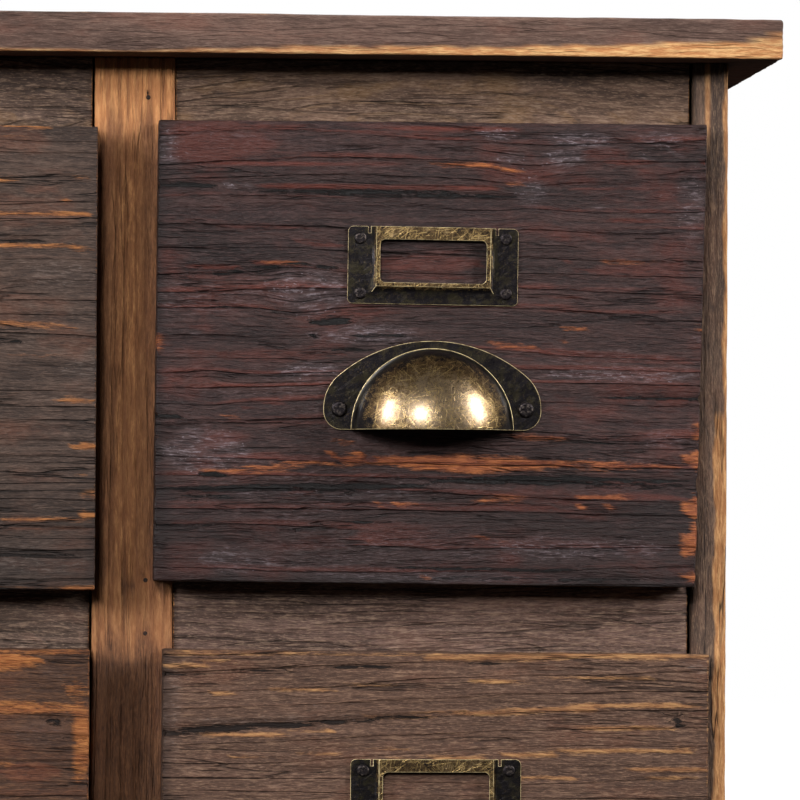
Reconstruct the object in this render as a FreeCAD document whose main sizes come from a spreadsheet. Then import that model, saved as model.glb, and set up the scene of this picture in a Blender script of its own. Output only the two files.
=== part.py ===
import FreeCAD, Part
import math
import os
import re

import Sketcher
from FreeCAD import Vector

# An apothecary chest of reclaimed wood, with six drawers in two rows of three.
# Millimetres. X runs along the front, Y from the front to the back and Z up.
# The origin is under the middle of the whole chest, on the surface it stands on.

SIZES = (
    # The case: openings, the frame round them and the boards behind it.
    ("opening_width", 196.0),
    ("opening_height", 166.0),
    ("case_depth", 285.0),
    ("side_thick", 13.5),
    ("stile_width", 30.5),
    ("stile_thick", 14.0),
    ("rail_setback", 1.5),
    ("rail_end_gap", 1.1),
    ("top_rail_height", 28.2),
    ("middle_rail_height", 33.0),
    ("bottom_rail_height", 34.3),
    ("partition_thick", 12.0),
    ("floor_thick", 9.0),
    ("back_thick", 4.0),
    ("back_rebate", 6.0),
    ("back_edge_gap", 0.3),
    ("edge_ease", 0.8),
    ("seam_width", 2.0),
    ("seam_depth", 1.0),
    # The top, of two boards that overhang at the ends and at the front.
    ("top_thick", 15.2),
    ("top_side_overhang", 18.0),
    ("top_front_overhang", 21.0),
    # How far off centre each front sits, to the right and downwards.
    ("upper_left_shift", 1.1),
    ("upper_middle_shift", -3.4),
    ("upper_right_shift", -1.7),
    ("lower_left_shift", -0.9),
    ("lower_middle_shift", -5.6),
    ("lower_right_shift", 0.3),
    ("upper_left_drop", 0.4),
    ("upper_middle_drop", 2.0),
    ("upper_right_drop", 0.1),
    ("lower_left_drop", 1.1),
    ("lower_middle_drop", 0.2),
    ("lower_right_drop", 0.3),
    # The strips that carry and guide the drawers.
    ("runner_height", 12.0),
    ("runner_reach", 12.0),
    ("guide_height", 15.0),
    # The drawer: a box behind a thick front that laps over the frame.
    ("front_thick", 14.0),
    ("front_side_lap", 4.6),
    ("front_end_lap", 3.3),
    ("closing_gap", 0.3),
    ("box_side_gap", 1.5),
    ("box_run_gap", 0.3),
    ("box_back_gap", 19.0),
    ("box_head_gap", 15.7),
    ("box_wall", 10.0),
    ("box_rebate", 4.0),
    ("bottom_thick", 4.0),
    ("bottom_lift", 8.0),
    ("groove_depth", 5.0),
    ("groove_gap", 0.3),
    # The pressed cup pull.
    ("pull_width", 81.8),
    ("pull_height", 33.4),
    ("pull_depth", 23.0),
    ("pull_drop", 13.6),
    ("pull_metal", 1.2),
    ("pull_heel_radius", 7.0),
    ("pull_ear_radius", 16.0),
    ("pull_ear_rise", 8.2),
    ("cup_radius", 30.5),
    ("cup_shoulder_radius", 17.0),
    ("pull_screw_spread", 70.0),
    ("pull_screw_rise", 7.8),
    # The stamped card holder.
    ("holder_width", 64.0),
    ("holder_height", 29.0),
    ("holder_drop", 39.0),
    ("holder_metal", 0.8),
    ("holder_raise", 2.8),
    ("holder_corner", 2.0),
    ("holder_wing", 8.5),
    ("holder_foot", 3.6),
    ("holder_side_slope", 2.0),
    ("holder_foot_slope", 3.0),
    ("window_width", 40.0),
    ("window_height", 16.2),
    ("window_rise", 8.0),
    ("window_corner", 2.0),
    ("notch_width", 1.0),
    ("notch_depth", 2.5),
    # The wood screws that hold the pull.
    ("screw_head_width", 6.0),
    ("screw_head_height", 1.4),
    ("screw_head_taper", 30.0),
    ("screw_shank_width", 3.0),
    ("screw_length", 12.0),
    ("shank_gap", 0.1),
    ("pilot_gap", 0.05),
    ("pilot_tip_gap", 0.5),
)

COLUMNS = (("left", -1), ("middle", 0), ("right", 1))
ROWS = (("lower", 0), ("upper", 1))
SIDES = (-1, 1)
ON_THE_FRONT = ("front", "pull", "pull_screws", "card_holder")

doc = FreeCAD.newDocument("ApothecaryChest")
sheet = doc.addObject("Spreadsheet::Sheet", "Sizes")
for line, (alias, value) in enumerate(SIZES, 1):
    sheet.set(f"A{line}", alias)
    sheet.set(f"B{line}", str(value))
    sheet.setAlias(f"B{line}", alias)
doc.recompute()

# Levels and distances that several pieces share, worked out from the sheet.
COLUMN_PITCH = "(opening_width + stile_width)"
INSIDE_X = "(1.5 * opening_width + stile_width)"
OUTSIDE_X = f"({INSIDE_X} + side_thick)"
CASE_TOP = "(bottom_rail_height + 2 * opening_height + middle_rail_height + top_rail_height)"
ROW_PITCH = "(opening_height + middle_rail_height)"
BACK_FACE = "(case_depth - back_thick)"
FRONT_REACH = "(closing_gap + front_thick + pull_depth)"
FACE_Y = f"(({FRONT_REACH} - case_depth) / 2)"
FRONT_FACE = "(closing_gap + front_thick)"
BOX_HALF = "(opening_width / 2 - box_side_gap)"
BOX_INSIDE = f"({BOX_HALF} - box_wall)"
BOX_DEPTH = f"({BACK_FACE} - box_back_gap)"
BOX_HEIGHT = "(opening_height - box_run_gap - box_head_gap)"
GROOVE_LOW = "(box_run_gap + bottom_lift)"
GROOVE_HIGH = f"({GROOVE_LOW} + bottom_thick + groove_gap)"
HOLDER_BASE = "(opening_height + front_end_lap - holder_drop - holder_height)"
PULL_BASE = f"({HOLDER_BASE} - pull_drop - pull_height)"
SCREW_LEVEL = f"({PULL_BASE} + pull_screw_rise)"
HOLDER_TRAY = "(holder_width / 2 - holder_wing)"


def full(text):
    """The expression with each size named as a cell of the sheet."""
    return re.sub(r"[a-z]+(?:_[a-z]+)+", lambda found: "Sizes." + found.group(0), text)


def value_of(text):
    """The number that an expression of sizes comes to."""
    return float(sheet.evalExpression(full(text)))


def bind(thing, path, text):
    """Ties a property to an expression of sizes."""
    thing.setExpression(path, full(text))


def check_feature(feature):
    """Recomputes and stops at a feature that has no good shape."""
    doc.recompute()
    if "Invalid" in feature.State or "Error" in feature.State or feature.Shape.isNull():
        raise RuntimeError(f"{feature.Label} has failed: {feature.State}")
    return feature


def new_body(label):
    body = doc.addObject("PartDesign::Body", label)
    body.Label = label
    return body


def new_sketch(body, name, plane, lift="0"):
    """A sketch on one of the body's own planes, lifted along that plane's normal."""
    sketch = body.newObject("Sketcher::SketchObject", name)
    planes = {feature.Role: feature for feature in body.Origin.OriginFeatures}
    sketch.AttachmentSupport = (planes[plane], [""])
    sketch.MapMode = "FlatFace"
    bind(sketch, "AttachmentOffset.Base.z", lift)
    return sketch


def pin_point(sketch, geometry, point, across, up):
    """Holds one point of a line, an arc or a circle at a place in the sketch."""
    for kind, text in (("DistanceX", across), ("DistanceY", up)):
        rule = Sketcher.Constraint(kind, -1, 1, geometry, point, value_of(text))
        number = sketch.addConstraint(rule)
        bind(sketch, f"Constraints[{number}]", text)


def outline(sketch, corners):
    """A closed outline of straight lines through corners, each held in place."""
    places = [Vector(value_of(across), value_of(up), 0) for across, up in corners]
    first = sketch.GeometryCount
    count = len(corners)
    for number in range(count):
        line = Part.LineSegment(places[number], places[(number + 1) % count])
        sketch.addGeometry(line)
    for number in range(count):
        following = first + (number + 1) % count
        sketch.addConstraint(Sketcher.Constraint("Coincident", first + number, 2, following, 1))
        pin_point(sketch, first + number, 1, *corners[number])


def rectangle(sketch, left, right, low, high):
    outline(sketch, ((left, low), (right, low), (right, high), (left, high)))


def circle(sketch, across, up, width):
    """A circle by its centre and its width, both from the sheet."""
    centre = Vector(value_of(across), value_of(up), 0)
    round_edge = Part.Circle(centre, Vector(0, 0, 1), value_of(width) / 2)
    number = sketch.addGeometry(round_edge)
    pin_point(sketch, number, 3, across, up)
    rule = sketch.addConstraint(Sketcher.Constraint("Diameter", number, value_of(width)))
    bind(sketch, f"Constraints[{rule}]", width)


def pad(body, name, sketch, length, reverse=False, taper=None):
    feature = body.newObject("PartDesign::Pad", name)
    feature.Profile = (sketch, [""])
    feature.Reversed = reverse
    bind(feature, "Length", length)
    if taper:
        bind(feature, "TaperAngle", taper)
    return check_feature(feature)


def pocket(body, name, sketch, length=None, reverse=False):
    """Cuts a sketch out of the body, through everything both ways without a length."""
    before = body.Tip.Shape.Volume
    feature = body.newObject("PartDesign::Pocket", name)
    feature.Profile = (sketch, [""])
    feature.Reversed = reverse
    if length:
        bind(feature, "Length", length)
    else:
        feature.Midplane = True
        feature.Type = 1
    check_feature(feature)
    if feature.Shape.Volume >= before:
        raise RuntimeError(f"{feature.Label} cuts nothing")
    return feature


def bevel_edges(body, wanted):
    """Takes the sharp corner off each edge that the test picks."""
    base = body.Tip
    names = [
        f"Edge{number}"
        for number, edge in enumerate(base.Shape.Edges, 1)
        if wanted(edge.BoundBox)
    ]
    feature = body.newObject("PartDesign::Chamfer", "EasedEdges")
    feature.Base = (base, names)
    bind(feature, "Size", "edge_ease")
    return check_feature(feature)


def flat_at(low, high, place):
    """Whether an edge lies all at one place along an axis."""
    slack = 0.01
    return abs(low - place) < slack and abs(high - place) < slack


def board(label, left, right, front, back, low, high):
    """A plain board, sawn square."""
    body = new_body(label)
    sketch = new_sketch(body, "Section", "XY_Plane", low)
    rectangle(sketch, left, right, front, back)
    pad(body, "Board", sketch, f"({high}) - ({low})")
    return body


def bars(label, spans, front, back):
    """Several straight bars from front to back, given by their ends in X and Z."""
    body = new_body(label)
    sketch = new_sketch(body, "Sections", "XZ_Plane", f"-1 * {front}")
    for span in spans:
        rectangle(sketch, *span)
    pad(body, "Bars", sketch, f"({back}) - ({front})", reverse=True)
    return body


def signed(sign, text):
    return f"{sign} * ({text})"


def ends_in_order(sign, near, far):
    """Two distances from the middle, as the lower and the higher X on one side."""
    if sign > 0:
        return near, far
    return signed(-1, far), signed(-1, near)


def ease_front(body, face):
    """Eases the edges round the front face of a board or front."""
    place = value_of(face)
    bevel_edges(body, lambda box: flat_at(box.YMin, box.YMax, place))


def side_panel(name, sign):
    """A side: two boards glued edge to edge, rebated at the back for the back panel."""
    left, right = ends_in_order(sign, INSIDE_X, OUTSIDE_X)
    body = board(f"side_{name}", left, right, "0", "case_depth", "0", CASE_TOP)
    rebate = new_sketch(body, "Rebate", "XY_Plane")
    near, far = ends_in_order(sign, INSIDE_X, f"{INSIDE_X} + back_rebate")
    rectangle(rebate, near, far, BACK_FACE, "case_depth")
    pocket(body, "BackRebate", rebate)
    seam = new_sketch(body, "Seam", "XY_Plane")
    face = signed(sign, OUTSIDE_X)
    bottom = signed(sign, f"{OUTSIDE_X} - seam_depth")
    outline(seam, (
        (face, "case_depth / 2 - seam_width / 2"),
        (bottom, "case_depth / 2"),
        (face, "case_depth / 2 + seam_width / 2"),
    ))
    pocket(body, "BoardSeam", seam)
    ease_front(body, "0")
    return body


def top_board(name, front, back):
    """One of the two boards of the top, with its upper edges eased."""
    reach = f"{OUTSIDE_X} + top_side_overhang"
    high = f"({CASE_TOP} + top_thick)"
    body = board(name, signed(-1, reach), reach, front, back, CASE_TOP, high)
    place = value_of(high)
    bevel_edges(body, lambda box: flat_at(box.ZMin, box.ZMax, place))
    return body


def stile(name, sign):
    """An upright of the face frame, which covers the front edge of a partition."""
    near = f"{COLUMN_PITCH} / 2 - stile_width / 2"
    far = f"{COLUMN_PITCH} / 2 + stile_width / 2"
    left, right = ends_in_order(sign, near, far)
    body = board(f"stile_{name}", left, right, "0", "stile_thick", "0", CASE_TOP)
    ease_front(body, "0")
    return body


def rails(name, low, high):
    """The three rails of one level, each cut a little short at its right end."""
    spans = []
    for _, column in COLUMNS:
        middle = f"{column} * {COLUMN_PITCH}"
        left = f"{middle} - opening_width / 2"
        right = f"{middle} + opening_width / 2 - rail_end_gap"
        spans.append((left, right, low, high))
    return bars(name, spans, "rail_setback", "stile_thick")


def partition(name, sign):
    """A board between two columns, which stands on the floor board."""
    near = f"{COLUMN_PITCH} / 2 - partition_thick / 2"
    far = f"{COLUMN_PITCH} / 2 + partition_thick / 2"
    left, right = ends_in_order(sign, near, far)
    label = f"partition_{name}"
    return board(label, left, right, "stile_thick", BACK_FACE, "floor_thick", CASE_TOP)


def row_base(row):
    """The height of the bottom of a row's openings."""
    return f"(bottom_rail_height + {row} * {ROW_PITCH})"


def strips_on_partitions(label, reach, low, high):
    """Strips on both faces of both partitions, one at each row of openings."""
    near = "partition_thick / 2"
    spans = []
    for column in SIDES:
        middle = f"{column} * {COLUMN_PITCH} / 2"
        for side in SIDES:
            left, right = ends_in_order(side, near, reach)
            for _, row in ROWS:
                base = row_base(row)
                spans.append((
                    f"{middle} + {left}",
                    f"{middle} + {right}",
                    f"{base} + {low}",
                    f"{base} + {high}",
                ))
    return bars(label, spans, "stile_thick", BACK_FACE)


def side_runners():
    """The runners on the side panels, which need no guide beside them."""
    spans = []
    near = f"{INSIDE_X} - box_side_gap - runner_reach"
    for side in SIDES:
        left, right = ends_in_order(side, near, INSIDE_X)
        for _, row in ROWS:
            base = row_base(row)
            spans.append((left, right, f"{base} - runner_height", base))
    return bars("side_runners", spans, "stile_thick", BACK_FACE)


def drawer_front():
    """The thick front, which laps over the frame, with pilot holes for its screws."""
    half = "opening_width / 2 + front_side_lap"
    low = "-1 * front_end_lap"
    high = "opening_height + front_end_lap"
    face = f"-1 * {FRONT_FACE}"
    body = board("front_master", signed(-1, half), half, face, "-1 * closing_gap", low, high)
    ease_front(body, face)
    pilots = new_sketch(body, "Pilots", "XZ_Plane", FRONT_FACE)
    for side in SIDES:
        across = f"{side} * pull_screw_spread / 2"
        circle(pilots, across, SCREW_LEVEL, "screw_shank_width + 2 * pilot_gap")
    pocket(body, "PilotHoles", pilots, "screw_length - pull_metal + pilot_tip_gap")
    return body


def drawer_sides():
    """The two sides of the box, rebated for its ends and grooved for its bottom."""
    body = new_body("sides_master")
    section = new_sketch(body, "Section", "XY_Plane", "box_run_gap")
    for side in SIDES:
        left, right = ends_in_order(side, BOX_INSIDE, BOX_HALF)
        rectangle(section, left, right, "-1 * closing_gap", BOX_DEPTH)
    pad(body, "Boards", section, BOX_HEIGHT)
    corners = new_sketch(body, "Corners", "XY_Plane")
    seat = f"{BOX_INSIDE} + box_rebate"
    rectangle(corners, signed(-1, seat), seat, "-1 * closing_gap", "box_wall - closing_gap")
    rectangle(corners, signed(-1, seat), seat, f"{BOX_DEPTH} - box_wall", BOX_DEPTH)
    pocket(body, "CornerRebates", corners)
    groove = new_sketch(body, "Groove", "XZ_Plane")
    edge = f"{BOX_INSIDE} + groove_depth"
    rectangle(groove, signed(-1, edge), edge, GROOVE_LOW, GROOVE_HIGH)
    pocket(body, "BottomGrooves", groove)
    return body


def drawer_ends():
    """The inner front and the back of the box. The back stands on the bottom."""
    body = new_body("ends_master")
    section = new_sketch(body, "Section", "XY_Plane", "box_run_gap")
    seat = f"{BOX_INSIDE} + box_rebate"
    rectangle(section, signed(-1, seat), seat, "-1 * closing_gap", "box_wall - closing_gap")
    rectangle(section, signed(-1, seat), seat, f"{BOX_DEPTH} - box_wall", BOX_DEPTH)
    pad(body, "Boards", section, BOX_HEIGHT)
    cuts = new_sketch(body, "Cuts", "YZ_Plane")
    inner_face = "box_wall - closing_gap"
    rectangle(cuts, f"{inner_face} - groove_depth", inner_face, GROOVE_LOW, GROOVE_HIGH)
    rectangle(cuts, f"{BOX_DEPTH} - box_wall", BOX_DEPTH, "box_run_gap", GROOVE_HIGH)
    pocket(body, "BottomGroove", cuts)
    return body


def drawer_bottom():
    """The thin bottom, which slides into its grooves from behind."""
    edge = f"{BOX_INSIDE} + groove_depth - groove_gap"
    front = "box_wall - closing_gap - groove_depth + groove_gap"
    return board(
        "bottom_master", signed(-1, edge), edge, front, BOX_DEPTH,
        GROOVE_LOW, f"{GROOVE_LOW} + bottom_thick",
    )


def arc(sketch, across, up, radius, start, end):
    """An arc of a circle, by its centre, its radius and its two angles in degrees."""
    round_edge = Part.Circle(Vector(across, up, 0), Vector(0, 0, 1), radius)
    start_angle = math.radians(start)
    end_angle = math.radians(end)
    return sketch.addGeometry(Part.ArcOfCircle(round_edge, start_angle, end_angle))


def line(sketch, start, end):
    return sketch.addGeometry(Part.LineSegment(Vector(*start, 0), Vector(*end, 0)))


def set_radius(sketch, geometry, text):
    rule = sketch.addConstraint(Sketcher.Constraint("Radius", geometry, value_of(text)))
    bind(sketch, f"Constraints[{rule}]", text)


def tangent_circle(reach, rise, radius):
    """The radius of the arc that crosses the axis square on and runs on smoothly.

    The arc meets the vertical axis at rise, and touches from outside a smaller
    circle of the given radius whose centre is reach away from that axis.
    """
    return (reach ** 2 + rise ** 2 - radius ** 2) / (2 * (rise - radius))


def flange_outline(sketch):
    """The flat edge, the rounded heels, the ears and the crowned top of the pull."""
    half = value_of("pull_width") / 2
    height = value_of("pull_height")
    heel = value_of("pull_heel_radius")
    ear = value_of("pull_ear_radius")
    rise = value_of("pull_ear_rise")
    crown = tangent_circle(half - ear, height - rise, ear)
    turn = math.degrees(math.atan2(rise - height + crown, half - ear))
    base = line(sketch, (heel - half, 0), (half - heel, 0))
    arcs = (
        arc(sketch, half - heel, heel, heel, -90, 0),
        arc(sketch, half - ear, rise, ear, 0, turn),
        arc(sketch, 0, height - crown, crown, turn, 180 - turn),
        arc(sketch, ear - half, rise, ear, 180 - turn, 180),
        arc(sketch, heel - half, heel, heel, 180, 270),
    )
    right_edge = line(sketch, (half, heel), (half, rise))
    left_edge = line(sketch, (-half, rise), (-half, heel))
    loop = (base, arcs[0], right_edge, arcs[1], arcs[2], arcs[3], left_edge, arcs[4])
    for number, piece in enumerate(loop):
        following = loop[(number + 1) % len(loop)]
        sketch.addConstraint(Sketcher.Constraint("Tangent", piece, 2, following, 1))
    pin_point(sketch, arcs[0], 3, "pull_width / 2 - pull_heel_radius", "pull_heel_radius")
    pin_point(sketch, arcs[4], 3, "pull_heel_radius - pull_width / 2", "pull_heel_radius")
    pin_point(sketch, arcs[1], 3, "pull_width / 2 - pull_ear_radius", "pull_ear_rise")
    pin_point(sketch, arcs[3], 3, "pull_ear_radius - pull_width / 2", "pull_ear_rise")
    set_radius(sketch, arcs[0], "pull_heel_radius")
    peak = sketch.addGeometry(Part.Point(Vector(0, height, 0)), True)
    sketch.addConstraint(Sketcher.Constraint("PointOnObject", peak, 1, arcs[2]))
    pin_point(sketch, peak, 1, "0 * pull_height", "pull_height")


def cup_profile(sketch, inset):
    """Half a section of the cup, a shoulder arc and a flatter arc across its nose."""
    reach = value_of(f"cup_radius - {inset}")
    depth = value_of(f"pull_depth - {inset}")
    shoulder = value_of(f"cup_shoulder_radius - {inset}")
    nose = tangent_circle(reach - shoulder, depth, shoulder)
    turn = math.degrees(math.atan2(nose - depth, reach - shoulder))
    rim = line(sketch, (0, 0), (reach, 0))
    shoulder_arc = arc(sketch, reach - shoulder, 0, shoulder, -turn, 0)
    nose_arc = arc(sketch, 0, nose - depth, nose, -90, -turn)
    axis = line(sketch, (0, -depth), (0, 0))
    sketch.addConstraint(Sketcher.Constraint("Coincident", rim, 2, shoulder_arc, 2))
    sketch.addConstraint(Sketcher.Constraint("Tangent", shoulder_arc, 1, nose_arc, 2))
    sketch.addConstraint(Sketcher.Constraint("Coincident", nose_arc, 1, axis, 1))
    sketch.addConstraint(Sketcher.Constraint("Coincident", axis, 2, rim, 1))
    pin_point(sketch, rim, 1, "0 * pull_depth", "0 * pull_depth")
    pin_point(sketch, shoulder_arc, 3, "cup_radius - cup_shoulder_radius", "0 * pull_depth")
    set_radius(sketch, shoulder_arc, f"cup_shoulder_radius - {inset}")
    pin_point(sketch, axis, 1, "0 * pull_depth", f"-1 * (pull_depth - {inset})")
    sketch.addConstraint(Sketcher.Constraint("PointOnObject", shoulder_arc, 2, -1))
    sketch.addConstraint(Sketcher.Constraint("PointOnObject", nose_arc, 3, -2))


def cup_pull():
    """The pull, pressed from sheet brass: a flange and a half cup open at the bottom."""
    body = new_body("pull_master")
    flange = new_sketch(body, "FlangeOutline", "XZ_Plane")
    flange_outline(flange)
    pad(body, "Flange", flange, "pull_metal")
    cup = new_sketch(body, "CupProfile", "XY_Plane")
    cup_profile(cup, "0 * pull_metal")
    dome = body.newObject("PartDesign::Revolution", "Cup")
    dome.Profile = (cup, [""])
    dome.ReferenceAxis = (cup, ["V_Axis"])
    dome.Angle = 180
    dome.Reversed = True
    check_feature(dome)
    before = dome.Shape.Volume
    space = new_sketch(body, "FingerSpaceProfile", "XY_Plane")
    cup_profile(space, "pull_metal")
    hollow = body.newObject("PartDesign::Groove", "FingerSpace")
    hollow.Profile = (space, [""])
    hollow.ReferenceAxis = (space, ["V_Axis"])
    hollow.Angle = 180
    hollow.Reversed = True
    check_feature(hollow)
    if hollow.Shape.Volume >= before:
        raise RuntimeError("The finger space cuts nothing")
    holes = new_sketch(body, "ScrewHoles", "XZ_Plane")
    for side in SIDES:
        across = f"{side} * pull_screw_spread / 2"
        circle(holes, across, "pull_screw_rise", "screw_shank_width + 2 * shank_gap")
    pocket(body, "ScrewHolesCut", holes)
    bind(body, "Placement.Base.y", f"-1 * {FRONT_FACE}")
    bind(body, "Placement.Base.z", PULL_BASE)
    return body


def loft(body, name, kind, sketches):
    feature = body.newObject(kind, name)
    feature.Profile = (sketches[0], [""])
    feature.Sections = [(sketches[1], [""])]
    feature.Ruled = True
    return check_feature(feature)


def card_holder():
    """The card holder, stamped from sheet brass: a raised tray open at the top."""
    body = new_body("holder_master")
    half = "holder_width / 2"
    plate = new_sketch(body, "Plate", "XZ_Plane")
    rectangle(plate, signed(-1, half), half, "0 * holder_height", "holder_height")
    pad(body, "Flange", plate, "holder_metal")
    flange = body.Tip
    corners = [
        f"Edge{number}"
        for number, edge in enumerate(flange.Shape.Edges, 1)
        if edge.BoundBox.YLength > value_of("holder_metal") / 2
    ]
    rounding = body.newObject("PartDesign::Fillet", "RoundCorners")
    rounding.Base = (flange, corners)
    bind(rounding, "Radius", "holder_corner")
    check_feature(rounding)
    tray_steps = (
        ("Tray", "PartDesign::AdditiveLoft", "0 * holder_metal", "0 * holder_metal"),
        ("CardSlot", "PartDesign::SubtractiveLoft", "holder_metal", "holder_metal"),
    )
    for name, kind, wall, roof in tray_steps:
        before = body.Tip.Shape.Volume
        low = new_sketch(body, f"{name}Base", "XZ_Plane")
        reach = f"{HOLDER_TRAY} - {wall}"
        rectangle(low, signed(-1, reach), reach, f"holder_foot + {wall}", "holder_height")
        high = new_sketch(body, f"{name}Face", "XZ_Plane", f"holder_raise - {roof}")
        reach = f"{HOLDER_TRAY} - holder_side_slope - {wall}"
        foot = f"holder_foot + holder_foot_slope + {wall}"
        rectangle(high, signed(-1, reach), reach, foot, "holder_height")
        loft(body, name, kind, (low, high))
        if (body.Tip.Shape.Volume > before) != (name == "Tray"):
            raise RuntimeError(f"{name} does not change the metal as it should")
    window = new_sketch(body, "Window", "XZ_Plane")
    rounded_window(window)
    pocket(body, "WindowCut", window)
    notches = new_sketch(body, "Notches", "XZ_Plane")
    for side in SIDES:
        left, right = ends_in_order(side, HOLDER_TRAY, f"{HOLDER_TRAY} + notch_width")
        rectangle(notches, left, right, "holder_height - notch_depth", "holder_height")
    pocket(body, "NotchesCut", notches)
    bind(body, "Placement.Base.y", f"-1 * {FRONT_FACE}")
    bind(body, "Placement.Base.z", HOLDER_BASE)
    return body


def rounded_window(sketch):
    """The window of the card holder, with its four corners rounded."""
    half = value_of("window_width") / 2
    low = value_of("window_rise")
    high = low + value_of("window_height")
    corner = value_of("window_corner")
    near = "window_width / 2 - window_corner"
    lift = "window_rise + window_corner"
    drop = "window_rise + window_height - window_corner"
    corners = (
        (arc(sketch, half - corner, low + corner, corner, -90, 0), near, lift),
        (arc(sketch, half - corner, high - corner, corner, 0, 90), near, drop),
        (arc(sketch, corner - half, high - corner, corner, 90, 180), signed(-1, near), drop),
        (arc(sketch, corner - half, low + corner, corner, 180, 270), signed(-1, near), lift),
    )
    edges = (
        line(sketch, (half, low + corner), (half, high - corner)),
        line(sketch, (half - corner, high), (corner - half, high)),
        line(sketch, (-half, high - corner), (-half, low + corner)),
        line(sketch, (corner - half, low), (half - corner, low)),
    )
    for number, (turn, across, up) in enumerate(corners):
        following = corners[(number + 1) % len(corners)][0]
        edge = edges[number]
        sketch.addConstraint(Sketcher.Constraint("Tangent", turn, 2, edge, 1))
        sketch.addConstraint(Sketcher.Constraint("Tangent", edge, 2, following, 1))
        pin_point(sketch, turn, 3, across, up)
    set_radius(sketch, corners[0][0], "window_corner")


def pull_screws():
    """The screws of the pull: tapered heads on its flange, shanks into the wood."""
    body = new_body("screws_master")
    seat = f"{FRONT_FACE} + pull_metal"
    heads = new_sketch(body, "Heads", "XZ_Plane", seat)
    shanks = new_sketch(body, "Shanks", "XZ_Plane", seat)
    for side in SIDES:
        across = f"{side} * pull_screw_spread / 2"
        circle(heads, across, SCREW_LEVEL, "screw_head_width")
        circle(shanks, across, SCREW_LEVEL, "screw_shank_width")
    pad(body, "HeadPads", heads, "screw_head_height", taper="-1 * screw_head_taper")
    pad(body, "ShankPads", shanks, "screw_length", reverse=True)
    return body


def case_pieces():
    """Every piece of the case, each set back to the middle of the whole chest."""
    middle = "case_depth / 2 - top_front_overhang / 2"
    pieces = [
        top_board("top_front_board", "-1 * top_front_overhang", middle),
        top_board("top_back_board", middle, "case_depth"),
        rails("top_rails", f"{CASE_TOP} - top_rail_height", CASE_TOP),
        rails("middle_rails", f"{row_base(1)} - middle_rail_height", row_base(1)),
        rails("bottom_rails", "0 * bottom_rail_height", "bottom_rail_height"),
        board(
            "floor_board", signed(-1, INSIDE_X), INSIDE_X, "stile_thick", BACK_FACE,
            "0 * floor_thick", "floor_thick",
        ),
        strips_on_partitions(
            "partition_runners",
            "stile_width / 2 + box_side_gap + runner_reach",
            "-1 * runner_height",
            "0 * runner_height",
        ),
        strips_on_partitions("guides", "stile_width / 2", "0 * guide_height", "guide_height"),
        side_runners(),
    ]
    for name, sign in (("left", -1), ("right", 1)):
        pieces.append(side_panel(name, sign))
        pieces.append(stile(name, sign))
        pieces.append(partition(name, sign))
    edge = f"{INSIDE_X} + back_rebate - back_edge_gap"
    pieces.append(
        board("back_panel", signed(-1, edge), edge, BACK_FACE, "case_depth", "0", CASE_TOP)
    )
    for piece in pieces:
        bind(piece, "Placement.Base.y", FACE_Y)
    return pieces


def drawer_masters():
    """One of each piece of a drawer, in the drawer's own place in its opening."""
    return {
        "front": drawer_front(),
        "sides": drawer_sides(),
        "ends": drawer_ends(),
        "bottom": drawer_bottom(),
        "pull": cup_pull(),
        "pull_screws": pull_screws(),
        "card_holder": card_holder(),
    }


def placed_drawer(masters, row_name, row, column_name, column):
    """The pieces of one drawer, each a copy of its master set in one opening.

    The box stands square in the opening. The front was nailed on by hand, so it
    and the brassware on it sit a little off centre.
    """
    pieces = []
    drawer_name = f"{row_name}_{column_name}"
    for kind, master in masters.items():
        label = f"{drawer_name}_{kind}"
        piece = doc.addObject("Part::Compound", label)
        piece.Label = label
        piece.Links = [master]
        across = f"{column} * {COLUMN_PITCH}"
        up = row_base(row)
        if kind in ON_THE_FRONT:
            across += f" + {drawer_name}_shift"
            up += f" - {drawer_name}_drop"
        bind(piece, "Placement.Base.x", across)
        bind(piece, "Placement.Base.y", FACE_Y)
        bind(piece, "Placement.Base.z", up)
        pieces.append(piece)
    return pieces


def check_all(pieces):
    """Stops before anything is written if any object or any piece has failed."""
    doc.recompute()
    for thing in doc.Objects:
        if "Invalid" in thing.State or "Error" in thing.State:
            raise RuntimeError(f"{thing.Label} has failed: {thing.State}")
    for piece in pieces:
        shape = piece.Shape
        if shape.isNull() or not shape.isValid() or not shape.Solids:
            raise RuntimeError(f"{piece.Label} has no valid solid")


def write_all(pieces):
    os.makedirs("parts", exist_ok=True)
    for piece in pieces:
        piece.Shape.exportStep(os.path.join("parts", f"{piece.Label}.step"))


chest = case_pieces()
drawer = drawer_masters()
for row_name, row in ROWS:
    for column_name, column in COLUMNS:
        chest += placed_drawer(drawer, row_name, row, column_name, column)
check_all(chest)
write_all(chest)
print(f"{len(chest)} pieces written")
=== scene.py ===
import math
import random

import bmesh
import bpy
import numpy as np
from mathutils import Matrix, Vector


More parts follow.
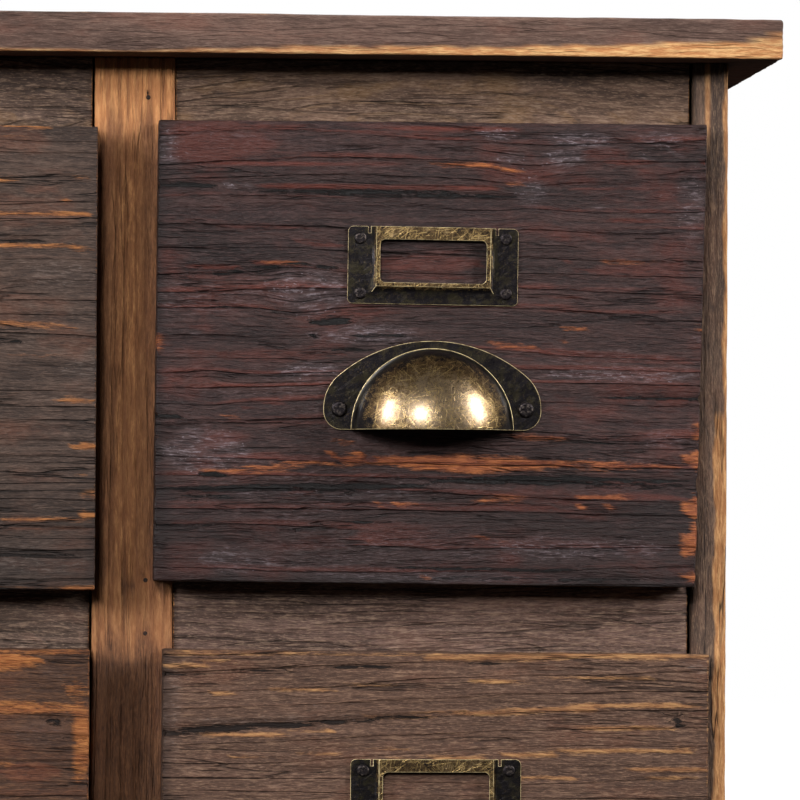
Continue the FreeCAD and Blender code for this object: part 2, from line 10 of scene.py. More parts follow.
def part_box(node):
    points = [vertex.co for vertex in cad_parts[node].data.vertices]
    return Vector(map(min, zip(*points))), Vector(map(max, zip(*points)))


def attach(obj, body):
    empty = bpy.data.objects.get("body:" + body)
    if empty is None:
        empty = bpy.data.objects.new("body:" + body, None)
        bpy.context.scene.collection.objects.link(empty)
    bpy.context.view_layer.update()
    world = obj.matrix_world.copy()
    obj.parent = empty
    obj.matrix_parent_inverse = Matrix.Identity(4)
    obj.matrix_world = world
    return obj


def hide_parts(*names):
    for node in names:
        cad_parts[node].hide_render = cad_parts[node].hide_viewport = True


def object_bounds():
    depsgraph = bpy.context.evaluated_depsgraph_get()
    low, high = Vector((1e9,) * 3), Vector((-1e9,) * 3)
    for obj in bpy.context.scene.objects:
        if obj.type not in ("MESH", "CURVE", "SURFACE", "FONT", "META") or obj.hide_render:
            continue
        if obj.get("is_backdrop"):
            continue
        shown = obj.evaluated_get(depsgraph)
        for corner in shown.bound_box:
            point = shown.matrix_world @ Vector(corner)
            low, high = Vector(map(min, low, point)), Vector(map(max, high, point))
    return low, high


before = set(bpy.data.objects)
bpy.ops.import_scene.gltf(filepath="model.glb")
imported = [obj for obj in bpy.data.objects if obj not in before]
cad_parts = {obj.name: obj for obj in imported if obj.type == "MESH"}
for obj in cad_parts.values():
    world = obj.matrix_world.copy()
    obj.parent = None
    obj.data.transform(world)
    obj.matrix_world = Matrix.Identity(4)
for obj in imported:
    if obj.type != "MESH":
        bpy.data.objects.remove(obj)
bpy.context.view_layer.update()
MM = 0.001

# The side panels: each is two softwood boards glued edge to edge, grain upright, dark with age
# and handling, with the light wood showing where the front arrises have been rubbed.
# They stand on the floor, carry the top, and are rebated behind for the back panel.


class Shade:
    """A value or a colour in a finish that is being mixed. Its sums, below, add Math nodes."""

    def __init__(self, tree, socket=None):
        self.tree = tree
        self.socket = socket

    def node(self, kind, settings=(), sockets=(), out=0):
        """Adds one node: its settings first, then the values or links of its sockets."""
        made = self.tree.nodes.new(kind)
        for key, value in dict(settings).items():
            setattr(made, key, value)
        for key, value in dict(sockets).items():
            if isinstance(value, Shade):
                self.tree.links.new(value.socket, made.inputs[key])
            else:
                made.inputs[key].default_value = value
        return Shade(self.tree, made.outputs[out])

    def out(self, name):
        return Shade(self.tree, self.socket.node.outputs[name])

    def sum(self, operation, first, second=0.0):
        return self.node("ShaderNodeMath", {"operation": operation}, {0: first, 1: second})

    def __abs__(self):
        return self.sum("ABSOLUTE", self)

    def least(self, other):
        return self.sum("MINIMUM", self, other)

    def most(self, other):
        return self.sum("MAXIMUM", self, other)

    def part(self):
        return self.sum("FRACT", self)

    def rise(self, low, high):
        """0 below low and 1 above high, with a smooth step between."""
        step = {"interpolation_type": "SMOOTHSTEP"}
        return self.node("ShaderNodeMapRange", step, {"Value": self, "From Min": low, "From Max": high})

    def over(self, colour, share):
        """This colour with another laid over it as thickly as share says."""
        return self.node("ShaderNodeMix", {"data_type": "RGBA"}, {0: share, 6: self, 7: colour}, 2)

    def plain(self, colour):
        """One colour all over, to lay others on."""
        made = self.node("ShaderNodeRGB")
        made.socket.default_value = colour
        return made

    def painted(self, name, out="Fac"):
        """What paint() or another section wrote on the mesh under this name."""
        return self.node("ShaderNodeAttribute", {"attribute_name": name}, out=out)

    def axes(self):
        """The three parts of a place."""
        split = self.node("ShaderNodeSeparateXYZ", {}, {"Vector": self})
        return [split.out(letter) for letter in "XYZ"]

    def place(self, across, up, deep):
        return self.node("ShaderNodeCombineXYZ", {}, {"X": across, "Y": up, "Z": deep})

    def speckle(self, detail=3.0, rough=0.55):
        """Soft noise over this place, from 0 to 1."""
        wanted = {"Vector": self, "Scale": 1.0, "Detail": detail, "Roughness": rough}
        return self.node("ShaderNodeTexNoise", {"noise_dimensions": "3D"}, wanted)

    def feed(self, socket):
        self.tree.links.new(self.socket, self.tree.nodes["Principled BSDF"].inputs[socket])


for word, operation in (
    ("add", "ADD"), ("sub", "SUBTRACT"), ("mul", "MULTIPLY"), ("truediv", "DIVIDE"), ("pow", "POWER"),
):
    setattr(Shade, f"__{word}__", lambda self, other, kind=operation: self.sum(kind, self, other))
    setattr(Shade, f"__r{word}__", lambda self, other, kind=operation: self.sum(kind, other, self))


def tint(red, green, blue, strength=1.0):
    """A colour as the eye reads it, from 0 to 255, as the light that it sends back."""
    light = []
    for value in (red, green, blue):
        share = value / 255
        light.append(strength * (share / 12.92 if share <= 0.04045 else ((share + 0.055) / 1.055) ** 2.4))
    return (*light, 1.0)


def new_finish(name, constants=()):
    """A finish with constants on its shader, the start of its mix, and this place's x, y and z."""
    finish = bpy.data.materials.new(name)
    finish.use_nodes = True
    for socket, value in dict(constants).items():
        finish.node_tree.nodes["Principled BSDF"].inputs[socket].default_value = value
    start = Shade(finish.node_tree)
    return finish, start, start.node("ShaderNodeTexCoord", out="Object").axes()


# For each way that grain can lie: the axis along it, the axis across it, and the axis into the board.
AXES = {"X": (0, 2, 1), "Z": (2, 0, 1), "TOP": (0, 1, 2), "SIDE": (2, 1, 0), "DEEP": (1, 2, 0)}
APART = 3.7  # how many metres apart two boards lie in the pattern, so that no two are alike


def old_wood(
    name, grain, low, high, seed,
    deep=(30, 20, 18), dark=(60, 44, 38), body=(86, 64, 52), light=(120, 94, 74),
    worn=(190, 120, 64), worn_light=(226, 166, 100), grey=(128, 118, 114), red=(98, 46, 34),
    ring=(0.007, 0.6), heart=(0.0, 0.08, 0.02), wander=0.006, light_share=0.45, fine=0.5, red_share=0.0,
    grey_share=0.4, stain_share=0.6, check_share=0.8, arris=(0.0012, 0.6), roughness=0.68, sheen=0.3,
    relief=1.0, patchy=0.3,
):
    """Old sawn softwood, whose grain runs along one axis. The marks painted on the board show through.

    ring is a year's width and strength, heart the middle of the tree and how little the rings close
    along the board, and arris how far in from the edges, and how much, the wood is rubbed.
    """
    finish, start, xyz = new_finish(name, {"Specular IOR Level": sheen})
    run, line, depth = [xyz[axis] for axis in AXES[grain]]
    marks = start.node("ShaderNodeSeparateColor", {}, {"Color": start.painted("marks", "Color")})
    rubbed, opened, dusty = marks.out("Red"), marks.out("Green"), marks.out("Blue")

    far = run + APART * seed
    drift = start.place(far * 5, line * 14, depth * 14).speckle(2)
    bent = line + start.painted("bend") + (drift - 0.5) * wander

    def noise(along, beside, detail, rough=0.55, shift=0):
        """Noise with so many spots to the metre along the grain and across it."""
        return start.place(far * along + shift, bent * beside, depth * beside).speckle(detail, rough)

    fibre = noise(130, 820, 4, 0.7)
    hair = noise(420, 2300, 2, 0.6)
    streak = noise(15, 280, 4, 0.65)
    stain = noise(7, 60, 4, 0.62)
    fade = noise(11, 90, 3, shift=40)
    check = noise(9, 150, 3, 0.6)
    patch = noise(26, 62, 4, 0.6)
    fleck = noise(620, 1100, 1)
    crowd = noise(3, 42, 1, shift=11)

    from_heart = (bent - heart[1]) ** 2 + ((run - heart[0]) * heart[2]) ** 2 + 1e-7
    rings = (from_heart ** 0.5) / ring[0] + (drift + streak * 0.22) * 1.8 + crowd * 3.2
    year = rings.part()
    early = year.rise(0.35, 0.82) * (1 - year.rise(0.84, 0.92))
    late = year.rise(0.84, 0.9) * (1 - year.rise(0.93, 0.99)) * fade.rise(0.42, 0.62)

    tone = start.plain(tint(*dark)).over(tint(*body), (streak * 0.6 + fibre * 0.4).rise(0.4, 0.6))
    tone = tone.over(tint(*deep), (1 - stain.rise(0.33, 0.55)) * stain_share)
    soaked = (early * stain.rise(0.4, 0.58) * red_share).most(start.painted("reddened"))
    uneven = (fibre - 0.5) * 0.9 + (streak - 0.5) * 0.7
    soaked = (soaked * 1.3 + uneven).rise(0.1, 1.15) * soaked.rise(0, 0.4)
    tone = tone.over(tint(*red), (soaked * 0.75).most(patch.rise(0.5, 0.68) * patchy))
    tone = tone.over(tint(*deep), (1 - patch.rise(0.34, 0.5)) * patchy * 0.7)
    tone = tone.over(tint(*deep), late * ring[1])
    tone = tone.over(tint(*deep), (1 - fibre.rise(0.34, 0.46)) * fine)
    tone = tone.over(tint(*light), fibre.rise(0.52, 0.66) * (fade * 1.4 + 0.1) * light_share)
    tone = tone.over(tint(*deep), (1 - hair.rise(0.34, 0.46)) * fine * 0.7)
    tone = tone.over(tint(*light), hair.rise(0.54, 0.66) * light_share * 0.7)
    scratched = hair.rise(0.5, 0.6) * fibre.rise(0.45, 0.56)
    scratched = scratched * (stain.rise(0.52, 0.7) * 0.5 + dusty * 1.3)
    scratched = scratched * grey_share * 0.8 + dusty * (0.07 + fibre.rise(0.48, 0.62) * 0.2)
    flecked = fleck.rise(0.69, 0.73) * (patch * 0.6 + dusty).rise(0.28, 0.6) * grey_share
    tone = tone.over(tint(*grey), scratched.most(flecked).least(1))

    gaps = []
    for axis in range(3):
        middle = (low[axis] + high[axis]) / 2
        half = (high[axis] - low[axis]) / 2
        gaps.append(half - abs(xyz[axis] - middle))
    small = gaps[0].least(gaps[1])
    large = gaps[0].most(gaps[1])
    from_arris = small.most(large.least(gaps[2]))
    at_arris = (1 - from_arris.rise(0, arris[0])) * arris[1]
    bare = rubbed.most(at_arris)
    rag = (fibre - 0.5) * 1.3 + (streak - 0.5) * 1.1 + (hair - 0.5) * 0.6
    bare = (bare + rag * bare.rise(0, 0.25)).rise(0.2, 0.88)
    clean = start.plain(tint(*worn)).over(tint(*worn_light), fibre.rise(0.4, 0.66))
    clean = clean.over(tint(*red), early * 0.35)
    tone = tone.over(clean, start.painted("pale")).over(clean, bare)

    checked = (1 - (abs(check - 0.5)).rise(0.004, 0.02)) * check_share * fade.rise(0.44, 0.56)
    ragged = (streak - 0.5) * 1.3 + (fibre - 0.5) * 1.7
    split_open = (opened + ragged * opened.rise(0, 0.3)).rise(0.5, 0.74)
    gap = checked.most(split_open)
    # Painted shade: the cracks and checks are coloured near black for the dark in their depths.
    tone = tone.over(tint(*deep, strength=0.3), gap)
    # Painted shade and darkening that paint() wrote, laid over in the deep colour.
    shade_and_darkening = start.painted("shade_and_darkening")
    shaded_and_darkened = (shade_and_darkening + (streak - 0.5) * 1.2 * shade_and_darkening.rise(0, 0.3)).rise(0.1, 0.9)
    tone = tone.over(tint(*deep, strength=0.8), shaded_and_darkened * 0.75)

    height = fibre * 0.6 + hair * 0.22 + streak * 0.8 + early * 0.25 - late * 0.4 - gap * 0.9 + bare * 0.15
    bump = start.node("ShaderNodeBump", {}, {"Height": height, "Strength": 1, "Distance": 0.0011 * relief})
    bump.feed("Normal")
    tone.feed("Base Color")
    (roughness + (fibre - 0.5) * 0.3 + bare * 0.06).feed("Roughness")
    return finish


def clear_selection():
    if bpy.context.object and bpy.context.object.mode != "OBJECT":
        bpy.ops.object.mode_set(mode="OBJECT")
    bpy.ops.object.select_all(action="DESELECT")


def sawn_board(name, low, high, cells, ease=0.9 * MM):
    """A board at its place, with its arrises eased, cut into so many cells along x, y and z."""
    clear_selection()
    middle = [(a + b) / 2 for a, b in zip(low, high)]
    bpy.ops.mesh.primitive_cube_add(size=1, location=middle)
    piece = bpy.context.object
    piece.name = piece.data.name = name
    piece.scale = [b - a for a, b in zip(low, high)]
    bpy.ops.object.transform_apply(location=True, rotation=False, scale=True)
    bpy.ops.object.mode_set(mode="EDIT")
    bpy.ops.mesh.select_mode(type="EDGE")
    bpy.ops.mesh.select_all(action="SELECT")
    bpy.ops.mesh.bevel(offset=ease, segments=2, profile=0.6)
    for axis, number in enumerate(cells):
        bpy.ops.mesh.select_all(action="DESELECT")
        cage = bmesh.from_edit_mesh(piece.data)
        for edge in cage.edges:
            span = edge.verts[1].co - edge.verts[0].co
            if abs(span[axis]) > 0.98 * span.length and span.length > 3 * ease:
                edge.select_set(True)
        bmesh.update_edit_mesh(piece.data)
        bpy.ops.mesh.subdivide(number_cuts=number - 1)
    bpy.ops.object.mode_set(mode="OBJECT")
    return piece


def points_of(piece):
    points = np.empty(len(piece.data.vertices) * 3)
    piece.data.vertices.foreach_get("co", points)
    return points.reshape(-1, 3)


def weigh(piece, name, weights):
    """A vertex group, from one weight for each point."""
    group = piece.vertex_groups.new(name=name)
    steps = np.round(np.clip(weights, 0, 1) * 20).astype(int)
    for step in range(1, 21):
        members = np.flatnonzero(steps == step)
        if len(members):
            group.add(members.tolist(), step / 20, "REPLACE")


def note(piece, name, values, kind="FLOAT", key="value"):
    """Writes a value for each point on the mesh, for a finish to read."""
    piece.data.attributes.new(name, kind, "POINT").data.foreach_set(key, values.ravel())


def paint(piece, rubbed=0.0, opened=0.0, dusty=0.0, red=0.0, bend=0.0, shade_and_darkening=0.0, pale=0.0):
    """Marks: rubbed bare, split open, dusty, reddened, bent grain, painted shade and darkening, pale wood.
    """
    count = len(piece.data.vertices)
    marks = np.zeros((count, 4))
    for channel, value in enumerate((rubbed, opened, dusty)):
        marks[:, channel] = np.clip(value, 0, 1)
    note(piece, "marks", marks, "FLOAT_COLOR", "color")
    for name, value in (("reddened", red), ("bend", bend), ("shade_and_darkening", shade_and_darkening), ("pale", pale)):
        note(piece, name, np.zeros(count) + value)


def shape(piece, kind, **settings):
    """Adds a modifier with these settings and makes it part of the mesh."""
    made = piece.modifiers.new(kind.lower(), kind)
    for key, value in settings.items():
        setattr(made, key, value)
    bpy.context.view_layer.objects.active = piece
    bpy.ops.object.modifier_apply(modifier=made.name)


def cut_in(piece, group, grain, depth, long, short, seed, detail):
    """Presses a cloudy pattern, drawn out along the grain, into the surface where the group says."""
    pattern = bpy.data.textures.new(piece.name + "_pattern", type="CLOUDS")
    pattern.noise_scale = 1.0
    pattern.noise_depth = detail
    bpy.ops.object.select_all(action="DESELECT")
    bpy.ops.object.empty_add(location=(0.37 * seed, 0.11 * seed, 0.23 * seed))
    guide = bpy.context.object
    guide.scale = (short, short, short)
    guide.scale[AXES[grain][0]] = long
    bpy.context.view_layer.update()
    shape(
        piece, "DISPLACE", texture=pattern, texture_coords="OBJECT", texture_coords_object=guide,
        strength=depth, mid_level=0.64, vertex_group=group,
    )
    bpy.data.objects.remove(guide)
    bpy.data.textures.remove(pattern)


def weather(piece, grain, low, high, seed, face, edge, shown=None):
    """Years of use: the face sinks along its grain and the arrises are nibbled, within the sawn size."""
    points = points_of(piece)
    gaps = np.minimum(points - np.array(low), np.array(high) - points)
    ends = np.where(gaps[:, AXES[grain][0]] < 0.6 * MM, 0.4, 1.0)
    near = np.clip(1 - np.sort(gaps, axis=1)[:, 1] / (3.5 * MM), 0, 1) ** 2
    seen = np.ones(len(points)) if shown is None else shown(points)
    weigh(piece, "face", ends * seen)
    weigh(piece, "arris", near * seen)
    cut_in(piece, "face", grain, face * MM, 90 * MM, 12 * MM, seed, 2)
    cut_in(piece, "face", grain, face * 0.7 * MM, 30 * MM, 1.8 * MM, seed + 1, 2)
    cut_in(piece, "arris", grain, edge * MM, 9 * MM, 1.6 * MM, seed + 2, 3)
    trimmed = np.clip(points_of(piece), np.array(low), np.array(high))
    piece.data.vertices.foreach_set("co", trimmed.ravel())
    for polygon in piece.data.polygons:
        polygon.use_smooth = True
    return points


def finished(piece, finish, body, node):
    piece.data.materials.clear()
    piece.data.materials.append(finish)
    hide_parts(node)
    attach(piece, body)


SIDE_INSIDE, SIDE_OUTSIDE, REBATE_INSIDE = 324.5 * MM, 338 * MM, 330.2 * MM
FRAME_FRONT, BACK_FACE, CASE_BACK, CASE_TOP = -123.85 * MM, 157.15 * MM, 161.15 * MM, 427.5 * MM
SIDE_CELLS, LIP_CELLS = (26, 90, 150), (6, 4, 60)
WIDE_BELOW = 294  # in mm: under this height the front edge is rubbed pale for more of its width
SIDES = (("left", -1), ("right", 1))
side_seed = 1
for side, sign in SIDES:
    seam = (FRAME_FRONT + CASE_BACK) / 2
    for part, front, back in (("front", FRAME_FRONT, seam), ("back", seam, BACK_FACE)):
        inner, outer = sorted((sign * SIDE_INSIDE, sign * SIDE_OUTSIDE))
        low, high = (inner, front, 0), (outer, back, CASE_TOP)
        piece = sawn_board(f"side_{side}_{part}_board", low, high, SIDE_CELLS)

        def shown(points):
            hidden = (sign * points[:, 0] < SIDE_INSIDE + 0.4 * MM) & (points[:, 1] > FRAME_FRONT + 14 * MM)
            hidden |= (points[:, 2] > CASE_TOP - 0.5 * MM) | (points[:, 1] > BACK_FACE - 0.5 * MM)
            return np.where(hidden, 0.0, 1.0)

        points = weather(piece, "SIDE", low, high, side_seed, 0.5, 0.8, shown)
        beyond = (sign * points[:, 0] - SIDE_INSIDE) / MM
        height = points[:, 2] / MM
        at_front = np.clip((FRAME_FRONT + 3 * MM - points[:, 1]) / (2 * MM), 0, 1)
        wide = np.where(height > WIDE_BELOW, 1.9, 5.2)
        wide = wide + 0.5 * np.sin(height / 7) + 0.3 * np.sin(height / 2.3)
        border = np.clip((beyond - 13.5 + wide) / 0.7, 0, 1)
        stripe = 0.75 * np.clip(1.5 - abs(beyond - 5.5) / 0.9, 0, 1) * np.clip((height - 392) / 12, 0, 1)
        # Painted shade: the inner millimetre of the front edge, where the side meets the frame, is darkened.
        paint(piece, pale=at_front * np.maximum(border, stripe), shade_and_darkening=at_front * (beyond < 1.0) * 0.5)
        finish = old_wood(
            f"old_side_board_{side}_{part}", "SIDE", low, high, side_seed,
            deep=(56, 42, 35), dark=(90, 70, 58), body=(122, 96, 80), light=(156, 126, 100),
            worn=(176, 120, 74), worn_light=(220, 166, 112), red=(120, 78, 56), arris=(0.0008, 0.4),
            ring=(0.007, 0.45), heart=(0.2, 0.12, 0.03), light_share=0.5, grey_share=0.4,
        )
        finished(piece, finish, "case", f"side_{side}")
        side_seed += 3
    inner, outer = sorted((sign * REBATE_INSIDE, sign * SIDE_OUTSIDE))
    low, high = (inner, BACK_FACE, 0), (outer, CASE_BACK, CASE_TOP)
    piece = sawn_board(f"side_{side}_rebate_lip", low, high, LIP_CELLS, 0.5 * MM)
    weather(piece, "SIDE", low, high, side_seed, 0.2, 0.5)
    paint(piece)
    finished(piece, finish, "case", f"side_{side}")

# The stiles: softwood strips nailed down the front of the case, between the columns of drawers.
# They run the whole height and stand a little proud of the rails.
STILE_IN, STILE_OUT, FRAME_BACK = 98 * MM, 128.5 * MM, -109.85 * MM
STRIP_CELLS, RAIL_CELLS = (80, 8, 300), (60, 8, 64)
NAIL_ACROSS = 118.2 * MM
# Heights in mm: beside the drawer fronts the stiles are painted darker, partly dirt and partly painted
# shade from the proud fronts, and pale where the rails meet them.
TOP_PALE, MIDDLE_PALE, DULL_UNDER = 394, (203, 233), (205, 231, 237)


def strip_front(points):
    """Everything but the back of a strip, which the case hides."""
    return np.where(points[:, 1] > FRAME_BACK - 2 * MM, 0.0, 1.0)


for side, sign in SIDES:
    left, right = sorted((sign * STILE_IN, sign * STILE_OUT))
    low, high = (left, FRAME_FRONT, 0), (right, FRAME_BACK, CASE_TOP)
    piece = sawn_board(f"stile_{side}_strip", low, high, STRIP_CELLS)
    points = weather(piece, "Z", low, high, 20 + sign, 0.4, 0.7, strip_front)
    height = points[:, 2] / MM
    inward = (points[:, 0] - left) / MM
    ragged = height + 5 * np.sin(inward * 0.5 + sign) + 2.5 * np.sin(inward * 1.7)
    pale = np.clip((ragged - TOP_PALE) / 14, 0, 1)
    base, top = MIDDLE_PALE
    pale = np.maximum(pale, 0.42 * np.clip((ragged - base) / 9, 0, 1) * np.clip((top - ragged) / 6, 0, 1))
    behind_upper = height > DULL_UNDER[1]
    worn_middle = np.exp(-(((inward - 13) / 8) ** 2)) * behind_upper
    pale = np.maximum(pale, 0.38 * worn_middle)
    dull = 0.5 * np.clip((DULL_UNDER[0] - height) / 6, 0, 1)
    dull = dull + 0.3 * np.clip((DULL_UNDER[2] - height) / 6, 0, 1) * behind_upper
    # Painted shade under the top's overhang: the stile is darkened just under the top board.
    dull = dull + 0.5 * np.clip((height - CASE_TOP / MM + 1) / 2, 0, 1)
    nail_line = abs(abs(points[:, 0]) - NAIL_ACROSS) / MM
    bruise = sum(np.exp(-(nail_line ** 2) - ((height - level) / 2.4) ** 2) for level in (9, 412.3))
    bruise = bruise + 0.8 * np.exp(-((abs(nail_line - 0.8) / 0.7) ** 2) - ((height - 420.6) / 1.2) ** 2)
    paint(piece, pale=pale, shade_and_darkening=dull, rubbed=0.25 * worn_middle, opened=1.2 * bruise)
    finish = old_wood(
        f"old_stile_{side}", "Z", low, high, 5 + sign,
        deep=(60, 37, 24), dark=(104, 67, 43), body=(132, 87, 57), light=(158, 110, 75),
        worn=(196, 130, 80), worn_light=(224, 160, 104),
        ring=(0.005, 0.4), heart=(0.1, 0.2, 0.02), light_share=0.45, grey_share=0.1, red_share=0.3,
        stain_share=0.25, check_share=0.3, arris=(0.0008, 0.3),
    )
    finished(piece, finish, "case", f"stile_{side}")

# The nails through the stiles: small round heads of soft iron, two or three at each rail. They are
# punched just below the face and have rusted dark.
NAIL_HEIGHTS = (9 * MM, 25 * MM, 210.7 * MM, 230.7 * MM, 412.3 * MM)
NAIL_RADIUS, NAIL_LONG, NAIL_EASE = 0.9 * MM, 9 * MM, 0.25 * MM


def rusty_iron():
    finish, start, (x, y, z) = new_finish("rusted_iron", {"Metallic": 0.4, "Roughness": 0.7})
    rust = start.place(x * 1500, y * 1500, z * 1500).speckle().rise(0.5, 0.62)
    start.plain(tint(30, 22, 19)).over(tint(74, 46, 32), rust).feed("Base Color")
    return finish


iron = rusty_iron()
for side, sign in SIDES:
    for number, height in enumerate(NAIL_HEIGHTS):
        clear_selection()
        bpy.ops.mesh.primitive_cylinder_add(
            vertices=20, radius=NAIL_RADIUS, depth=NAIL_LONG, rotation=(math.pi / 2, 0, 0),
            location=(sign * NAIL_ACROSS, FRAME_FRONT + 4.4 * MM, height),
        )
        nail = bpy.context.object
        nail.name = nail.data.name = f"stile_{side}_nail_{number}"
        bpy.ops.object.transform_apply(location=True, rotation=True, scale=True)
        bpy.ops.object.mode_set(mode="EDIT")
        bpy.ops.mesh.select_all(action="SELECT")
        bpy.ops.mesh.bevel(offset=NAIL_EASE, segments=2, affect="EDGES")
        bpy.ops.object.mode_set(mode="OBJECT")
        nail.data.materials.append(iron)
        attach(nail, "case")

# The rails: strips of the same softwood between the stiles and the sides, set back a little and
# cut short at their right ends. The middle bay's have darkened most.
RAIL_FRONT = -122.35 * MM
RAILS = (("top", 399.3 * MM, CASE_TOP), ("middle", 200.3 * MM, 233.3 * MM), ("bottom", 0, 34.3 * MM))
BAYS = (
    ("left", -SIDE_INSIDE, -STILE_OUT, 1.1 * MM),
    ("middle", -STILE_IN, STILE_IN, 0.6 * MM),
    ("right", STILE_OUT, SIDE_INSIDE, 1.1 * MM),
)
rail_seed = 30
for rail, base, top in RAILS:
    for bay, start, end, short in BAYS:
        low, high = (start, RAIL_FRONT, base), (end - short, FRAME_BACK, top)
        piece = sawn_board(f"{rail}_rail_{bay}", low, high, RAIL_CELLS)
        weather(piece, "X", low, high, rail_seed, 0.5, 0.8, strip_front)
        paint(piece)
        dark, body, ochre = (94, 71, 62), (126, 98, 87), (120, 84, 68)
        if rail == "top":
            dark, body, ochre = (94, 71, 58), (126, 98, 81), (142, 106, 64)
        if bay == "middle":
            dark, body = (78, 61, 52), (106, 84, 73)
        finish = old_wood(
            f"old_{rail}_rail_{bay}", "X", low, high, rail_seed,
            deep=(52, 37, 29), dark=dark, body=body, light=(162, 134, 112), red=ochre,
            red_share=0.4, patchy=0.4, check_share=0.5, sheen=0.35, light_share=0.65,
            ring=(0.0032, 0.6), heart=(start + 0.085, base + 0.004, 0.14), grey_share=0.35,
            wander=0.012,
        )
        finished(piece, finish, "case", f"{rail}_rails")
        rail_seed += 3

# The inside of the case: partitions, runners, guides, the floor and the back are plain sawn
# softwood that no one sees with the drawers shut, so they have kept more of their own colour.
INNER = {
    "partition_left": "SIDE", "partition_right": "SIDE", "partition_runners": "DEEP", "guides": "DEEP",
    "side_runners": "DEEP", "floor_board": "TOP", "back_panel": "Z",
}
for number, (node, grain) in enumerate(INNER.items()):
    low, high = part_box(node)
    finish = old_wood(
        f"inner_{node}", grain, low, high, 60 + number,
        deep=(70, 50, 36), dark=(128, 98, 72), body=(156, 122, 90), light=(184, 150, 112),
        ring=(0.007, 0.35), heart=(0.3, 0.14, 0.04), light_share=0.3, grey_share=0.15, stain_share=0.35,
    )
    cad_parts[node].data.materials[0] = finish

# The top: two boards laid side by side, lapping the case at the ends and the front. Their long
# front arris has been rubbed to the light wood, most of all at the right-hand corner.
TOP_REACH, TOP_HIGH, TOP_FRONT, TOP_SEAM = 356 * MM, 442.7 * MM, -144.85 * MM, 8.15 * MM
PLANK_CELLS = (190, 120, 30)


def plank_shown(points):
    """All but the glued seam and the part of the underside that lies on the case."""
    x, y, z = points.T
    under = (z < CASE_TOP + 0.4 * MM) & (y > TOP_FRONT + 10 * MM) & (abs(x) < SIDE_OUTSIDE + 2 * MM)
    return np.where(under | (abs(y - TOP_SEAM) < 0.5 * MM), 0.0, 1.0)


PLANKS = (("front", TOP_FRONT, TOP_SEAM), ("back", TOP_SEAM, CASE_BACK))
for number, (part, front, back) in enumerate(PLANKS):
    low, high = (-TOP_REACH, front, CASE_TOP), (TOP_REACH, back, TOP_HIGH)
    piece = sawn_board(f"top_{part}_plank", low, high, PLANK_CELLS)
    x, y, z = weather(piece, "TOP", low, high, 80 + 4 * number, 0.55, 0.9, plank_shown).T / MM
    strip = 1.0 + 3.6 * np.clip((x - 110) / 170, 0, 1) + 1.4 * np.clip((x - 300) / 36, 0, 1)
    strip = strip + 4.0 * np.clip((x - 344) / 10, 0, 1) + 0.5 * np.sin(x / 23)
    strip = strip + 0.45 * np.sin(x / 4.1) * np.sin(x / 9.7) + 0.25 * np.sin(x / 1.9)
    at_front = np.clip(TOP_FRONT / MM + 1.6 - y, 0, 1)
    above = z - CASE_TOP / MM
    pale = np.clip((strip - above) / 1.3 + 0.5, 0, 1) * at_front
    dull = 0.45 * np.clip((x - 325) / 25, 0, 1) * np.clip(above / 8, 0, 1) * at_front
    paint(piece, pale=pale, shade_and_darkening=dull)
    dark, body = ((102, 78, 68), (124, 96, 84)) if part == "front" else ((92, 72, 64), (112, 88, 78))
    finish = old_wood(
        f"old_top_{part}", "TOP", low, high, 90 + number,
        deep=(66, 48, 42), dark=dark, body=body, light=(150, 124, 110), red=(124, 82, 68),
        worn=(204, 140, 88), worn_light=(240, 190, 130), check_share=0.25, fine=0.35, red_share=0.45,
        ring=(0.006, 0.3), heart=(0.3, 0.2, 0.04), light_share=0.34, grey_share=0.4, arris=(0.0008, 0.35),
        patchy=0.5,
    )
    finished(piece, finish, "case", f"top_{part}_board")

# The drawer boxes: sides, ends and bottoms of plain planed softwood, rebated and glued, left bare.
# The thick fronts are screwed on afterwards.
COLUMNS = ("left", "middle", "right")
DRAWERS = [f"{row}_{column}" for row in ("upper", "lower") for column in COLUMNS]
for place, drawer in enumerate(DRAWERS):
    for number, (part, grain) in enumerate((("sides", "DEEP"), ("ends", "X"), ("bottom", "TOP"))):
        node = f"{drawer}_{part}"
        low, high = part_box(node)
        finish = old_wood(
            f"bare_{node}", grain, low, high, 100 + number + 7 * (place % len(COLUMNS)),
            deep=(110, 82, 56), dark=(158, 124, 88), body=(186, 150, 110), light=(206, 174, 132),
            red=(150, 104, 66), red_share=0.5, patchy=0.25,
            ring=(0.006, 0.4), heart=(0.3, 0.1, 0.04), light_share=0.3, grey_share=0.05, stain_share=0.3,
            check_share=0.0, arris=(0.0006, 0.1), roughness=0.55, relief=0.4,
        )
        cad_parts[node].data.materials[0] = finish

# The drawer fronts: six thick boards from old floors, no two alike, sawn a little out of square and
# screwed to the boxes, so that they lap over the frame on all sides. Each has its own stain,
# cracks, grey bruises and ridges rubbed down to the orange wood.
FRONT_FACE, FRONT_BACK = -138.15 * MM, -124.15 * MM
FRONT_CELLS = (56, 10, 330)
CRACK_DEEP = 1.5 * MM
DARKER_UNDER = 126  # in mm from the top: below this a front is painted darker


def grain_flow(across, down, knots, turn):
    """How far the grain lies from a straight line, in mm: long waves, and swells round the knots."""
    flow = 0.8 * np.sin(across / 34 + turn + down / 70) * np.cos(down / 30 + 2 * turn)
    flow = flow + 0.22 * np.sin(across / 11 + 3 * turn + down / 13) * np.sin(across / 29 + turn)
    for x, y, long, high, swell in knots:
        rise = (down - y) / high
        flow = flow - swell * rise * np.exp(-(((across - x) / long) ** 2) - rise ** 2)
    return flow


